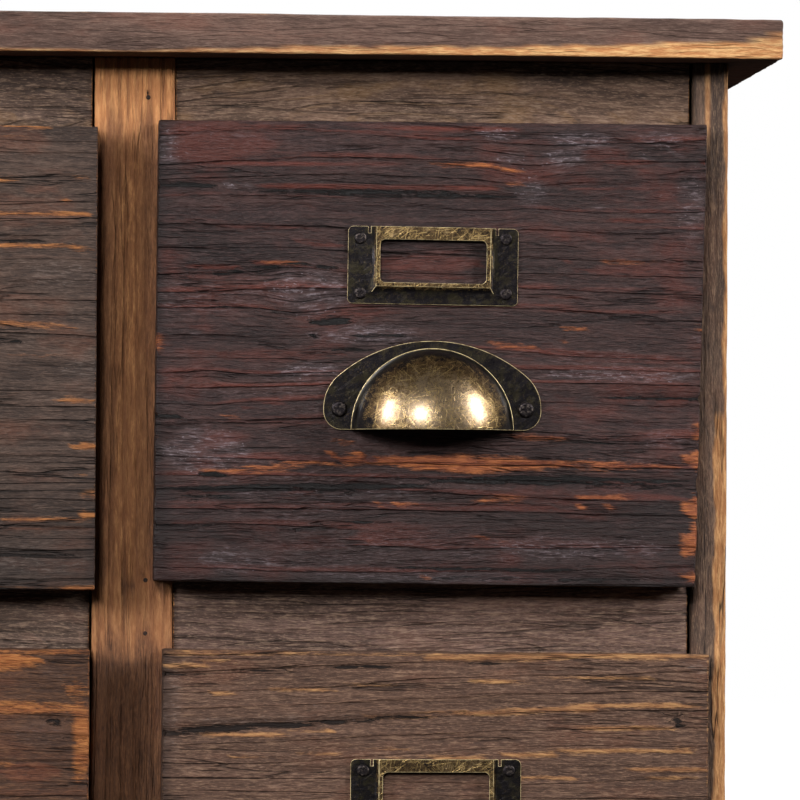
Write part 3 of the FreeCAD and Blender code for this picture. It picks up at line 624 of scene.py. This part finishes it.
def strokes(across, down, rows, flow, core):
    """How deep each point lies in soft strokes along the grain, given as in MARKS below."""
    share = np.zeros(len(across))
    for centre, below, half_long, half_high, strength, *lean in rows:
        middle = flow(np.array([centre]), np.array([below]))[0]
        slip = down + flow(across, down) - below - middle - sum(lean) * (across - centre)
        taper = np.clip(1 - ((across - centre) / half_long) ** 2, 0, 1) + 0.001
        share = np.maximum(share, strength * np.clip(core * (1 - abs(slip) / (half_high * taper)), 0, 1))
    return share


def chance_strokes(draw, count, span, long, high, strength):
    """Strokes where no photograph shows any, over a span of the board's length."""
    rows = []
    for _ in range(count):
        row = [draw.uniform(*limits) for limits in (span, (2, 171), long, high, (-0.02, 0.02), strength)]
        rows.append((*row[:4], row[5], row[4]))
    return rows


# A stroke's middle in mm from the front's left end and down from its top, its half length and half
# height, its strength, and how much it leans if it does. "hidden" is the span out of the photograph's
# view, where seeded strokes are added. "corners" says how far aside and up the top left, top right,
# bottom left and bottom right corners lie from a true oblong.
MARKS = {}
MARKS["upper_right"] = dict(
    knots=((52, 63, 13, 9, 5), (140, 27, 12, 10, -4), (20, 100, 9, 6, 3)),
    corners=((-0.4, 0.6), (1.0, 1.0), (-1.6, 0.6), (-3.0, -1.1)),
    rubbed=(
        (117, 16, 30, 1.2, 0.8, 0.02), (135, 23, 5, 1, 0.7), (45, 53.5, 11, 1.2, 0.8, 0.01),
        (181, 52, 16, 0.8, 0.6, 0.02), (179, 54.5, 14, 0.7, 0.6, 0.02), (156, 77, 5, 1.6, 0.6),
        (127, 71, 19, 1, 0.5), (133, 83, 13, 2, 0.7, 0.02), (141, 117, 13, 2, 0.6, 0.04),
        (71, 120, 9, 1.2, 0.8, 0.01), (73, 125.5, 7, 1.6, 0.8), (91, 126, 10, 2, 0.8),
        (120, 127.5, 38, 5, 1), (167, 127.5, 30, 3, 0.8), (72, 128, 16, 2.5, 0.6),
        (38, 130.5, 24, 2.6, 0.55, -0.02), (48, 128.5, 13, 1.8, 0.7, -0.06), (131, 140.5, 16, 1.6, 0.85),
        (173, 139, 17, 1.4, 0.8, -0.03), (124, 155, 4, 1.6, 0.65), (133, 156, 4, 1.1, 0.45),
        (29, 110.5, 4, 1.2, 0.5), (96, 142.5, 6, 0.9, 0.75), (203.5, 76.5, 3, 2, 0.6),
        (204, 115, 2.2, 6, 0.7), (203.6, 125, 3.8, 6, 1), (203.4, 143, 3.6, 8, 1), (203.6, 154, 3.2, 9, 1),
        (201.6, 159, 4.4, 4, 0.95), (203.4, 169, 3.4, 4, 0.8), (1.6, 83, 2.8, 6, 0.7),
    ),
    red=(
        (48, 16, 50, 0.9, 0.8, -0.01), (82, 24.5, 65, 1.1, 0.95, -0.015), (30, 54.5, 27, 1, 0.9, -0.03),
        (179, 55, 24, 4, 0.5), (161, 106.5, 18, 0.9, 0.85), (128, 143, 28, 1.6, 0.75, 0.01),
        (75, 143.5, 6, 1, 0.9), (85, 2, 93, 1, 0.95), (183, 2, 19, 0.9, 0.7), (175, 15, 16, 1.4, 0.9),
        (176, 24.5, 30, 2, 0.5), (180, 36, 21, 0.9, 0.9), (149, 64.5, 17, 0.9, 0.9),
        (40, 40, 21, 2, 0.5, 0.01), (60, 46, 12, 2, 0.6, 0.06), (104, 47.5, 21, 1.2, 0.7, 0.01),
        (103, 58, 24, 1.2, 0.6), (86, 71, 18, 1.4, 0.6, 0.02), (35, 144, 40, 2, 0.5, 0.04),
        (185, 139, 22, 2, 0.7), (165, 70, 40, 1.5, 0.5), (165, 88, 40, 1.5, 0.5),
        (117, 144, 60, 2, 0.6, 0.02), (43, 106, 16, 1.2, 0.6, -0.1), (160, 93.5, 30, 1.4, 0.5),
        (101, 53, 24, 7, 0.5), (45, 88, 28, 5, 0.4), (50, 112, 30, 4, 0.35),
    ),
    opened=(
        (11, 24.5, 12, 1, 1, 0.04), (80, 27, 60, 1, 1), (32, 56.5, 32, 1.2, 1, -0.03),
        (66, 75, 9, 1.4, 1, 0.02), (4, 111, 5, 1, 1), (51, 137, 60, 1.3, 1, -0.03), (153, 133.3, 66, 1.5, 1),
        (168, 135.5, 43, 0.9, 0.8), (173, 102, 32, 0.8, 0.9), (173, 119, 32, 0.7, 0.85, -0.01),
        (22, 141.5, 21, 0.8, 0.9, -0.04), (22, 132.8, 4, 1, 1), (47, 150.5, 52, 0.7, 0.7, -0.03),
        (123, 166.5, 35, 0.7, 0.85, 0.01), (144, 170.5, 45, 0.8, 0.9, 0.01), (48, 3.7, 19, 0.9, 0.7, 0.01),
        (51, 33.5, 55, 0.6, 0.7, -0.01), (31, 70.5, 26, 0.6, 0.7), (86, 80, 15, 0.8, 0.8, 0.02),
        (73, 85.5, 9, 0.9, 0.8, 0.04),
    ),
    dusty=(
        (126, 4.5, 7, 2.4, 1), (158, 6.5, 14, 4.2, 1), (188, 6, 6, 3.5, 1), (151, 13.5, 9, 5.5, 0.6),
        (132, 14.5, 6, 3, 0.5), (60, 66, 13, 12, 0.5), (139, 26, 6, 9, 0.7), (48, 61, 8, 6, 0.6),
        (79, 79.5, 21, 4.2, 0.8), (58, 93.5, 12, 4.5, 0.8), (19, 124, 17, 12, 0.7), (3, 10.5, 5, 10.5, 0.6),
        (175, 94, 30, 3, 0.7), (191, 118, 9, 3.5, 0.6), (200, 31, 5, 19, 0.5), (153, 158, 26, 5.5, 0.5),
        (183, 158, 13, 5.5, 0.5), (31, 164.5, 15, 5.5, 0.6), (112, 170, 60, 2.4, 0.8),
        (64, 139.6, 46, 2.4, 0.65, -0.02),
    ),
    look=dict(
        deep=(24, 14, 14), dark=(50, 32, 31), body=(69, 45, 41), light=(96, 72, 70), red=(112, 48, 33),
        grey=(150, 138, 144), worn=(138, 74, 43), worn_light=(186, 110, 62), red_share=0.6, fine=0.45,
        wander=0.008, roughness=0.52, sheen=0.42, arris=(0.0008, 0.2), ring=(0.0085, 0.4),
        heart=(0.16, 0.56, 0.02), light_share=0.44, patchy=0.42, check_share=0.5, relief=1.4,
        grey_share=0.55,
    ),
)
MARKS["lower_right"] = dict(
    corners=((0.2, 1.9), (0.4, 0.6), (0, 0), (0, 0)),
    rubbed=(
        (9, 6, 10, 2.4, 0.7, -0.04), (20, 4, 8, 2, 0.6), (106, 2, 14, 2.2, 0.9),
        (135, 1.4, 45, 2.2, 1, -0.02), (180, 1, 32, 2, 0.95), (95, 24, 24, 1.5, 0.7, -0.04),
        (129, 22.2, 34, 1.7, 0.95, -0.05), (176, 19.4, 40, 1.7, 1, -0.05), (135, 38.3, 12, 1.3, 0.9, -0.05),
        (166, 36.7, 38, 1.5, 0.95, -0.04), (198, 35.4, 10, 1.4, 0.7), (143, 46.5, 16, 1.6, 0.8, -0.03),
        (192, 43.5, 20, 1.4, 0.9, -0.02), (192, 46.2, 18, 1.1, 0.75, -0.02),
        (116, 39.2, 14, 1.5, 0.8, -0.03), (33, 31, 30, 1.4, 0.8, -0.03), (98, 39, 18, 1.3, 0.6, -0.02),
        (60, 14, 50, 1.1, 0.7, -0.04), (150, 10, 50, 1.1, 0.75, -0.04), (60, 38, 40, 1.1, 0.7, -0.04),
        (170, 28, 36, 1.1, 0.75, -0.05), (60, 70, 50, 1.4, 0.8, -0.04), (150, 92, 60, 1.5, 0.9, -0.04),
        (40, 120, 40, 1.6, 0.8, -0.03), (170, 140, 40, 1.4, 0.8, -0.03),
    ),
    red=((20, 4, 7, 1.8, 0.6), (120, 60, 50, 3, 0.3, -0.04), (60, 110, 50, 3, 0.3, -0.04)),
    opened=(
        (20, 29.6, 34, 1.3, 1, -0.07), (66, 26.3, 44, 1.2, 1, -0.06), (30, 8, 50, 0.55, 0.85, -0.04),
        (100, 5, 46, 0.5, 0.8, -0.04), (193, 23.6, 4, 1.3, 1), (194, 27, 4, 1.1, 1),
        (53, 45, 22, 0.7, 0.7, -0.04), (60, 100, 60, 0.8, 0.8, -0.05), (150, 150, 45, 0.7, 0.8, -0.03),
    ),
    dusty=((201, 4.5, 5, 4, 1), (2, 22, 5, 30, 0.9), (30, 26.5, 24, 1.6, 0.9), (52, 25, 26, 1.2, 0.6)),
    look=dict(
        deep=(58, 40, 32), dark=(86, 62, 50), body=(104, 77, 63), light=(146, 114, 92), red=(118, 70, 48),
        grey=(120, 108, 104), worn=(154, 106, 68), worn_light=(190, 142, 94), red_share=0.25,
        ring=(0.006, 0.28), heart=(-0.6, 0.28, 0.05), light_share=0.75, fine=0.55, stain_share=0.3,
        check_share=0.55,
    ),
)
MARKS["upper_middle"] = dict(
    hidden=(0, 135),
    corners=((0, 0), (0, 0), (0.4, -0.6), (-0.2, -1.1)),
    rubbed=(
        (180, 0.4, 13, 0.9, 0.9), (177, 5, 17, 1.1, 0.7), (162, 20, 18, 3, 0.4), (199, 19, 5, 1, 0.6),
        (165, 33.4, 30, 1.1, 0.75), (196, 33.3, 10, 1.4, 0.9), (175, 45, 33, 0.9, 0.75),
        (200, 46.4, 6, 1.2, 0.5), (171, 74, 36, 1.7, 0.7), (180, 85, 29, 0.7, 0.6, -0.02),
        (189, 103, 19, 0.8, 0.8, -0.03), (196, 101.5, 9, 1.4, 0.6), (201, 118.7, 6, 2, 1),
        (199, 130, 7, 1.4, 0.5), (202, 144.5, 5, 2.4, 0.95), (175, 146.7, 32, 0.9, 0.8),
        (189, 150.2, 19, 0.7, 0.6), (199.5, 172, 8, 2, 1), (203, 137.5, 4, 4, 0.6),
    ),
    red=((175, 150, 32, 1, 0.6), (188, 84.5, 13, 1, 0.7), (184, 24, 9, 4, 0.4)),
    opened=((186, 22, 7, 0.7, 0.7, 0.02), (177, 43, 9, 0.9, 0.7, 0.01), (201, 20, 4, 1, 0.6)),
    dusty=((192, 56, 15, 7.5, 0.3), (180, 162, 34, 9, 0.5), (200, 91, 8, 7.5, 0.4)),
    look=dict(
        deep=(42, 33, 30), dark=(68, 53, 46), body=(88, 70, 61), light=(120, 98, 86), red=(122, 70, 48),
        grey=(124, 116, 112), worn=(142, 88, 50), worn_light=(180, 118, 68), red_share=0.25,
        ring=(0.0075, 0.6), heart=(0.3, 0.62, 0.03), stain_share=0.5,
    ),
)
MARKS["lower_middle"] = dict(
    hidden=(0, 150),
    corners=((0, 1.2), (0.3, 1.8), (0, 0), (0, 0)),
    rubbed=(
        (171, 4.5, 18, 5.5, 0.85), (180, 21.6, 27, 3.5, 0.65, -0.02), (168, 42, 13, 3, 0.45),
        (202, 34, 5, 24, 0.85), (200, 15, 5, 5.5, 0.5),
    ),
    red=((183, 45.5, 13, 7, 0.6), (150, 80, 60, 8, 0.5)),
    opened=((193, 27, 4, 1.6, 1), (185, 13.5, 15, 0.6, 0.6), (199, 33, 5, 0.7, 0.7)),
    dusty=((187, 31, 11, 6, 0.8), (192, 9, 5, 4, 0.6)),
    look=dict(
        deep=(46, 30, 24), dark=(72, 48, 36), body=(94, 64, 47), light=(128, 90, 64), red=(112, 60, 40),
        grey=(84, 76, 76), worn=(150, 88, 46), worn_light=(184, 120, 68), red_share=0.4, ring=(0.009, 0.5),
        heart=(0.1, 0.3, 0.04), stain_share=0.7,
    ),
)
MARKS["upper_left"] = dict(
    hidden=(0, 205),
    look=dict(
        deep=(44, 34, 30), dark=(74, 56, 47), body=(92, 70, 58), light=(124, 98, 80), red=(116, 62, 42),
        grey=(118, 110, 106), worn=(150, 94, 54), worn_light=(184, 126, 76), red_share=0.3,
        ring=(0.008, 0.6), heart=(-0.35, 0.5, 0.03),
    ),
)
MARKS["lower_left"] = dict(
    hidden=(0, 205),
    look=dict(
        deep=(34, 26, 26), dark=(60, 46, 44), body=(78, 60, 56), light=(104, 86, 80), red=(108, 54, 40),
        grey=(120, 114, 116), worn=(160, 88, 44), worn_light=(198, 122, 64), red_share=0.45,
        ring=(0.0085, 0.7), heart=(-0.3, -0.1, 0.03),
    ),
)


def front_seats(drawer):
    """The face stays true where the brassware is screwed down, and so does the hidden back of the board."""
    boxes = [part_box(f"{drawer}_{part}") for part in ("card_holder", "pull")]

    def shown(points):
        free = np.ones(len(points))
        for first, last in boxes:
            sideways = np.maximum(first[0] - points[:, 0], points[:, 0] - last[0])
            upward = np.maximum(first[2] - points[:, 2], points[:, 2] - last[2])
            free = np.minimum(free, np.clip(np.maximum(sideways, upward) / (3 * MM) + 0.1, 0.1, 1))
        return np.where(points[:, 1] > FRONT_BACK - 0.5 * MM, 0.05, free)

    return shown


for number, (drawer, seen) in enumerate(MARKS.items()):
    low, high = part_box(f"{drawer}_front")
    piece = sawn_board(f"{drawer}_front_board", low, high, FRONT_CELLS)
    points = points_of(piece)
    across = (points[:, 0] - low[0]) / MM
    down = (high[2] - points[:, 2]) / MM
    draw = random.Random(500 + number)
    rows = {kind: list(seen.get(kind, ())) for kind in ("rubbed", "red", "opened", "dusty")}
    corners = seen.get("corners", ((0, 0),) * 4)
    knots = seen.get("knots", ())
    span = seen.get("hidden")
    if span:
        rows["rubbed"] += chance_strokes(draw, 16, span, (6, 30), (0.9, 2.2), (0.5, 0.9))
        rows["rubbed"] += chance_strokes(draw, 7, (0, 4), (3, 5), (1.5, 6), (0.6, 1))
        rows["red"] += chance_strokes(draw, 14, span, (12, 50), (0.9, 3), (0.4, 0.9))
        rows["opened"] += chance_strokes(draw, 9, span, (14, 60), (0.8, 1.2), (0.7, 1))
        rows["dusty"] += chance_strokes(draw, 9, span, (6, 30), (2.5, 9), (0.4, 0.8))

    def flow(x, y):
        return grain_flow(x, y, knots, number)

    marks = {kind: strokes(across, down, rows[kind], flow, 1.5) for kind in rows}
    valleys = [(x, y, 1.15 * long, 2.2 * high, *rest) for x, y, long, high, *rest in rows["opened"]]
    marks["opened"] = strokes(across, down, valleys, flow, 1.0)
    weather(piece, "X", low, high, 200 + 5 * number, 0.9, 0.9, front_seats(drawer))
    weigh(piece, "opened", marks["opened"] * front_seats(drawer)(points))
    shape(piece, "DISPLACE", strength=-CRACK_DEEP, mid_level=0.0, vertex_group="opened")
    rim = np.minimum(np.minimum(across, down), np.minimum(across.max() - across, down.max() - down))
    # Painted shade and dirt: each front is darkened along its left end and round its rim, and painted darker
    # towards its bottom.
    shade_and_darkening = 0.5 * np.clip(1 - across / 9, 0, 1) + 0.35 * np.clip(1 - rim / 4, 0, 1)
    shade_and_darkening = shade_and_darkening + 0.5 * np.clip((down - DARKER_UNDER) / 16, 0, 1)
    paint(piece, bend=-flow(across, down) * MM, shade_and_darkening=shade_and_darkening * (1 - marks["rubbed"]), **marks)
    u, v = across / across.max(), down / down.max()
    moved = points_of(piece)
    for (aside, rise), share in zip(corners, ((1 - u) * (1 - v), u * (1 - v), (1 - u) * v, u * v)):
        moved[:, 0] += aside * share * MM
        moved[:, 2] += rise * share * MM
    piece.data.vertices.foreach_set("co", moved.ravel())
    finish = old_wood(f"old_front_{drawer}", "X", low, high, 40 + number, **seen["look"])
    finished(piece, finish, drawer + "_drawer", f"{drawer}_front")

# The brassware: cup pulls and card holders pressed from thin sheet, darkened in a bath and then
# rubbed, so the crowns of the cups are bright and the hollows have stayed dark. The rounded edges
# are bright as well: partly wear, partly a painted highlight.
CUP_WORN_HIGH, CUP_WORN_REACH = 8 * MM, 25 * MM
PULL_EDGE, HOLDER_EDGE, HOLDER_RISE = 0.6 * MM, 0.4 * MM, 1.8 * MM
HOLDER_TILTS = {"upper_right": math.radians(0.65)}


def patina():
    """Dark bronze in the hollows, brown gold where hands wear it, with fine crossed scratches."""
    metal = {"Metallic": 0.85, "Coat Weight": 0.6, "Coat Roughness": 0.2}
    finish, start, (x, y, z) = new_finish("darkened_brass", metal)
    across, out, up = start.painted("spot", "Vector").axes()
    cloud = start.place(x * 260, y * 260, z * 260).speckle(5, 0.65)
    bloom = start.place(x * 700 + 9, y * 700, z * 700).speckle(4, 0.7)
    grit = start.place(x * 2600, y * 2600, z * 2600).speckle(2, 0.6)
    scratch = start.node("ShaderNodeValue")
    scratch.socket.default_value = 0
    for turn, long, fine in ((35, 140, 3300), (-48, 180, 3000), (80, 150, 3600), (8, 120, 3100)):
        c, s = math.cos(math.radians(turn)), math.sin(math.radians(turn))
        along, beside = x * c + z * s, z * c - x * s
        line = start.place(along * long, beside * fine, y * 160 + turn).speckle(1)
        scratch = scratch.most(line.rise(0.6, 0.72))
    sideways = across * 0.72
    from_crown = (sideways ** 2 + (up - CUP_WORN_HIGH) ** 2) ** 0.5
    worn = (1 - from_crown.rise(CUP_WORN_REACH * 0.2, CUP_WORN_REACH)) * out.rise(2.5 * MM, 9 * MM)
    worn = worn.most(start.painted("raised"))
    worn = (worn + (cloud - 0.5) * 1.2 + (bloom - 0.5) * 0.9 + (grit - 0.5) * 0.7) * worn.rise(0, 0.3)
    worn = (worn + scratch * worn.rise(0.05, 0.5) * 0.4).least(1).most(0)
    tone = start.plain(tint(36, 32, 35)).over(tint(64, 58, 42), cloud.rise(0.45, 0.62))
    tone = tone.over(tint(27, 25, 34), bloom.rise(0.5, 0.62) * 0.7)
    tone = tone.over(tint(96, 80, 52), (grit * 0.5 + bloom * 0.5).rise(0.54, 0.64) * 0.6)
    tone = tone.over(tint(114, 90, 60), worn.rise(0.05, 0.55))
    tone = tone.over(tint(152, 130, 104), worn.rise(0.5, 1))
    tone = tone.over(tint(214, 180, 112), scratch * worn.rise(0.1, 0.6) * 0.6)
    tone.feed("Base Color")
    (0.31 - worn * 0.03 + (bloom - 0.5) * 0.16 + (grit - 0.5) * 0.16).feed("Roughness")
    height = grit * 0.04 - scratch * 0.12
    start.node("ShaderNodeBump", {}, {"Height": height, "Strength": 0.5, "Distance": 0.00025}).feed("Normal")
    return finish


def worn_and_highlight_edge():
    """The rounded edges: worn brass and a painted highlight, pale and barely metallic so they look lit."""
    finish, start, (x, y, z) = new_finish("worn_and_highlight_brass", {"Roughness": 0.32, "Metallic": 0.25})
    cloud = start.place(x * 420, y * 420, z * 420).speckle(4, 0.7)
    tone = start.plain(tint(250, 226, 170)).over(tint(110, 84, 50), (1 - cloud.rise(0.36, 0.56)) * 0.85)
    tone.feed("Base Color")
    return finish


def pick(piece):
    """Makes this the one piece that the next tools work on."""
    clear_selection()
    bpy.context.view_layer.objects.active = piece
    piece.select_set(True)


def pressed_brass(node, name, bright, hollows, raised=None, tilt=0.0):
    """A copy of the pressed piece, its edges rounded over in bright worn brass and a painted highlight."""
    piece = bpy.data.objects.new(name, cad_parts[node].data.copy())
    bpy.context.collection.objects.link(piece)
    pick(piece)
    bpy.ops.object.mode_set(mode="EDIT")
    bpy.ops.mesh.select_all(action="SELECT")
    bpy.ops.mesh.remove_doubles(threshold=0.01 * MM)
    bpy.ops.mesh.dissolve_limited(angle_limit=math.radians(0.5))
    bpy.ops.object.mode_set(mode="OBJECT")
    piece.data.materials.clear()
    piece.data.materials.append(bpy.data.materials["darkened_brass"])
    piece.data.materials.append(bpy.data.materials["worn_and_highlight_brass"])
    for polygon in piece.data.polygons:
        polygon.material_index = 0
    cage = bmesh.new()
    cage.from_mesh(piece.data)
    sharp = math.radians(35)
    # With hollows, the inner creases are rounded and brightened too: a painted highlight there, not wear.
    turned = [edge.calc_face_angle(0) > sharp and (hollows or edge.is_convex) for edge in cage.edges]
    cage.free()
    layer = piece.data.attributes.new("bevel_weight_edge", "FLOAT", "EDGE")
    layer.data.foreach_set("value", [float(round_over) for round_over in turned])
    shape(piece, "BEVEL", width=bright, segments=2, limit_method="WEIGHT", material=1)
    bpy.ops.object.shade_smooth_by_angle(angle=math.radians(32))
    shape(piece, "WEIGHTED_NORMAL", keep_sharp=True)
    low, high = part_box(node)
    points = points_of(piece)
    x, y, z = points.T
    local = np.stack((x - (low[0] + high[0]) / 2, high[1] - y, z - low[2]), axis=1)
    note(piece, "spot", local, "FLOAT_VECTOR", "vector")
    note(piece, "raised", np.zeros(len(points)) if raised is None else raised(local))
    if tilt:
        middle = Vector(((low[0] + high[0]) / 2, 0, (low[2] + high[2]) / 2))
        turn = Matrix.Translation(middle) @ Matrix.Rotation(tilt, 4, "Y") @ Matrix.Translation(-middle)
        piece.data.transform(turn)
    return piece


def raised_middle(local):
    """The middle of a card holder stands up, so it is rubbed, and its flanges have stayed dark."""
    return np.clip((local[:, 1] - HOLDER_RISE) / (0.8 * MM), 0, 1) * 0.42


patina()
worn_and_highlight_edge()
for drawer in DRAWERS:
    tilt = HOLDER_TILTS.get(drawer, 0.0)
    for node, name, *how in (
        ("pull", "cup_pull", PULL_EDGE, True),
        ("card_holder", "label_frame", HOLDER_EDGE, False, raised_middle, tilt),
    ):
        piece = pressed_brass(f"{drawer}_{node}", f"{drawer}_{name}", *how)
        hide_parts(f"{drawer}_{node}")
        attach(piece, f"{drawer}_drawer")

# The screws: steel wood screws with crossed slots, blackened. Two hold each pull, and four small
# ones hold each card holder. No two slots stand at the same angle.
# A screw's head, its width and height, and its shank, its width and length.
PULL_SCREW, HOLDER_SCREW = (6 * MM, 1.4 * MM, 3 * MM, 12 * MM), (4.5 * MM, 1 * MM, 2 * MM, 8 * MM)
PULL_METAL, PULL_SCREW_OUT, PULL_SCREW_UP = 1.2 * MM, 35 * MM, 7.8 * MM
HOLDER_METAL, HOLDER_SCREW_OUT, HOLDER_SCREW_UP = 0.8 * MM, 27.4 * MM, 10.3 * MM


def cross_head(name, head, high, shank, long):
    """One screw at the origin, its head toward the front: a turned blank with a cross cut in the head."""
    clear_selection()
    bpy.ops.mesh.primitive_cylinder_add(
        vertices=28, radius=head / 2, depth=high, location=(0, -high / 2, 0), rotation=(math.pi / 2, 0, 0)
    )
    screw = bpy.context.object
    screw.name = screw.data.name = name
    bpy.ops.object.transform_apply(location=True, rotation=True, scale=True)
    bpy.ops.object.mode_set(mode="EDIT")
    bpy.ops.mesh.select_mode(type="FACE")
    for back, inset, reach in ((True, (head - shank) / 2, long), (False, head * 0.1, 0)):
        bpy.ops.mesh.select_all(action="DESELECT")
        cage = bmesh.from_edit_mesh(screw.data)
        for face in cage.faces:
            if (face.normal.y > 0.9) == back and abs(face.normal.y) > 0.9:
                face.select_set(True)
        bmesh.update_edit_mesh(screw.data)
        if back:
            bpy.ops.mesh.inset(thickness=inset, depth=0)
            bpy.ops.mesh.extrude_region_move(TRANSFORM_OT_translate={"value": (0, reach, 0)})
        else:
            bpy.ops.mesh.bevel(offset=high * 0.62, segments=4, profile=0.5)
    bpy.ops.object.mode_set(mode="OBJECT")
    for turn in (0, math.pi / 2):
        bpy.ops.mesh.primitive_cube_add(size=1, location=(0, -high, 0), rotation=(0, turn, 0))
        cutter = bpy.context.object
        cutter.scale = (head * 0.62, high * 1.1, head * 0.14)
        shape(screw, "BOOLEAN", operation="DIFFERENCE", solver="EXACT", object=cutter)
        bpy.data.objects.remove(cutter)
    return screw


def black_steel():
    finish, start, (x, y, z) = new_finish("blackened_steel", {"Metallic": 0.9})
    rust = start.place(x * 900, y * 900, z * 900).speckle(3, 0.6)
    start.plain(tint(46, 41, 43)).over(tint(100, 90, 84), rust.rise(0.5, 0.64)).feed("Base Color")
    (0.3 + rust * 0.3).feed("Roughness")
    return finish


steel = black_steel()
blanks = {"pull": cross_head("pull_screw", *PULL_SCREW), "holder": cross_head("holder_screw", *HOLDER_SCREW)}
draw = random.Random(77)
for drawer in DRAWERS:
    low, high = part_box(f"{drawer}_pull")
    middle, level = (low[0] + high[0]) / 2, low[2] + PULL_SCREW_UP
    places = [("pull", middle + side * PULL_SCREW_OUT, level, PULL_METAL) for side in (-1, 1)]
    low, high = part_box(f"{drawer}_card_holder")
    middle, level = (low[0] + high[0]) / 2, (low[2] + high[2]) / 2
    places += [
        ("holder", middle + side * HOLDER_SCREW_OUT, level + rise * HOLDER_SCREW_UP, HOLDER_METAL)
        for side in (-1, 1) for rise in (-1, 1)
    ]
    for number, (kind, x, z, metal) in enumerate(places):
        screw = bpy.data.objects.new(f"{drawer}_{kind}_screw_{number}", blanks[kind].data.copy())
        bpy.context.collection.objects.link(screw)
        at = Matrix.Translation((x, FRONT_FACE - metal, z))
        screw.data.transform(at @ Matrix.Rotation(draw.uniform(0, math.pi), 4, "Y"))
        screw.data.materials.append(steel)
        pick(screw)
        bpy.ops.object.shade_smooth_by_angle(angle=math.radians(35))
        if kind == "pull":
            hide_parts(f"{drawer}_pull_screws")
        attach(screw, f"{drawer}_drawer")
for blank in blanks.values():
    bpy.data.objects.remove(blank)

# The studio floor: a round of matt white that the chest stands on. It glows more away from the
# chest, so that it has soft shadows near by and no horizon.
FLOOR_REACH, GLOW_FROM, GLOW_FULL = 6, 0.6, 1.5
clear_selection()
bpy.ops.mesh.primitive_circle_add(
    vertices=128, radius=FLOOR_REACH, fill_type="NGON", location=(0, 0, -0.3 * MM)
)
floor = bpy.context.object
floor.name = "studio_floor"
white = {"Base Color": (0.82, 0.81, 0.8, 1), "Roughness": 0.9, "Emission Strength": 1.0}
floor_finish, start, (x, y, z) = new_finish("pale_floor", white)
glow = ((x ** 2.0 + y ** 2.0) ** 0.5).rise(GLOW_FROM, GLOW_FULL)
start.plain((0.3, 0.3, 0.3, 1)).over((1, 1, 1, 1), glow).feed("Emission Color")
floor.data.materials.append(floor_finish)
floor.visible_diffuse = False
floor.visible_glossy = False
floor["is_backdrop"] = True

# The light: three soft boxes before the chest and two dimmer ones above and behind it, in a nearly
# dark room. The camera sees plain white where the room is.
AIM = Vector((0.1, -0.12, 0.28))
LAMPS = (  # bearing and height in degrees, then distance, width and height in metres, and watts
    ("front_softbox", -13, 20, 2.6, 0.5, 0.45, 31),
    ("left_softbox", -58, 22, 2.3, 0.4, 0.9, 37),
    ("right_softbox", 63, 22, 2.3, 0.4, 0.9, 39),
    ("overhead_softbox", 175, 72, 2.4, 1.2, 1.2, 38),
    ("back_softbox", 160, 25, 2.6, 1.2, 0.8, 34),
)
for name, azimuth, elevation, distance, wide, high, power in LAMPS:
    a, e = math.radians(azimuth), math.radians(elevation)
    toward = Vector((math.sin(a) * math.cos(e), -math.cos(a) * math.cos(e), math.sin(e)))
    bpy.ops.object.light_add(type="AREA", location=AIM + toward * distance)
    lamp = bpy.context.object
    lamp.name = name
    lamp.data.shape = "RECTANGLE"
    lamp.data.size = wide
    lamp.data.size_y = high
    lamp.data.energy = power
    lamp.rotation_euler = (-toward).to_track_quat("-Z", "Y").to_euler()
    lamp.visible_camera = False

studio = bpy.data.worlds.new("studio")
bpy.context.scene.world = studio
studio.use_nodes = True
air = Shade(studio.node_tree)
seen = air.node("ShaderNodeLightPath", out="Is Camera Ray")
dim = air.node("ShaderNodeBackground", {}, {"Color": (1, 0.98, 0.96, 1), "Strength": 0.02})
bright = air.node("ShaderNodeBackground", {}, {"Color": (1, 1, 1, 1), "Strength": 1.0})
both = air.node("ShaderNodeMixShader", {}, {0: seen, 1: dim, 2: bright})
studio.node_tree.links.new(both.socket, studio.node_tree.nodes["World Output"].inputs["Surface"])
bpy.context.scene.view_settings.view_transform = "Standard"

# The camera: a long lens far before the chest, a little left of its middle and level with its
# lower half, close in on the upper right-hand drawer.
CAMERA_AT, YAW, PITCH, ROLL, LENS = (0.0519, -2.359, 0.2536), 4.141, 1.161, 0.293, 267.5
bpy.ops.object.camera_add(location=CAMERA_AT)
camera = bpy.context.object
camera.name = "studio_camera"
camera.data.lens = LENS
camera.data.sensor_width = 36
camera.data.clip_start = 0.05
yaw, pitch, roll = (math.radians(angle) for angle in (YAW, PITCH, ROLL))
ahead = Vector((math.sin(yaw) * math.cos(pitch), math.cos(yaw) * math.cos(pitch), math.sin(pitch)))
level = Vector((math.cos(yaw), -math.sin(yaw), 0))
upward = level.cross(ahead)
aside = level * math.cos(roll) + upward * math.sin(roll)
overhead = upward * math.cos(roll) - level * math.sin(roll)
camera.rotation_euler = Matrix((aside, overhead, -ahead)).transposed().to_euler()
bpy.context.scene.camera = camera

low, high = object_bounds()
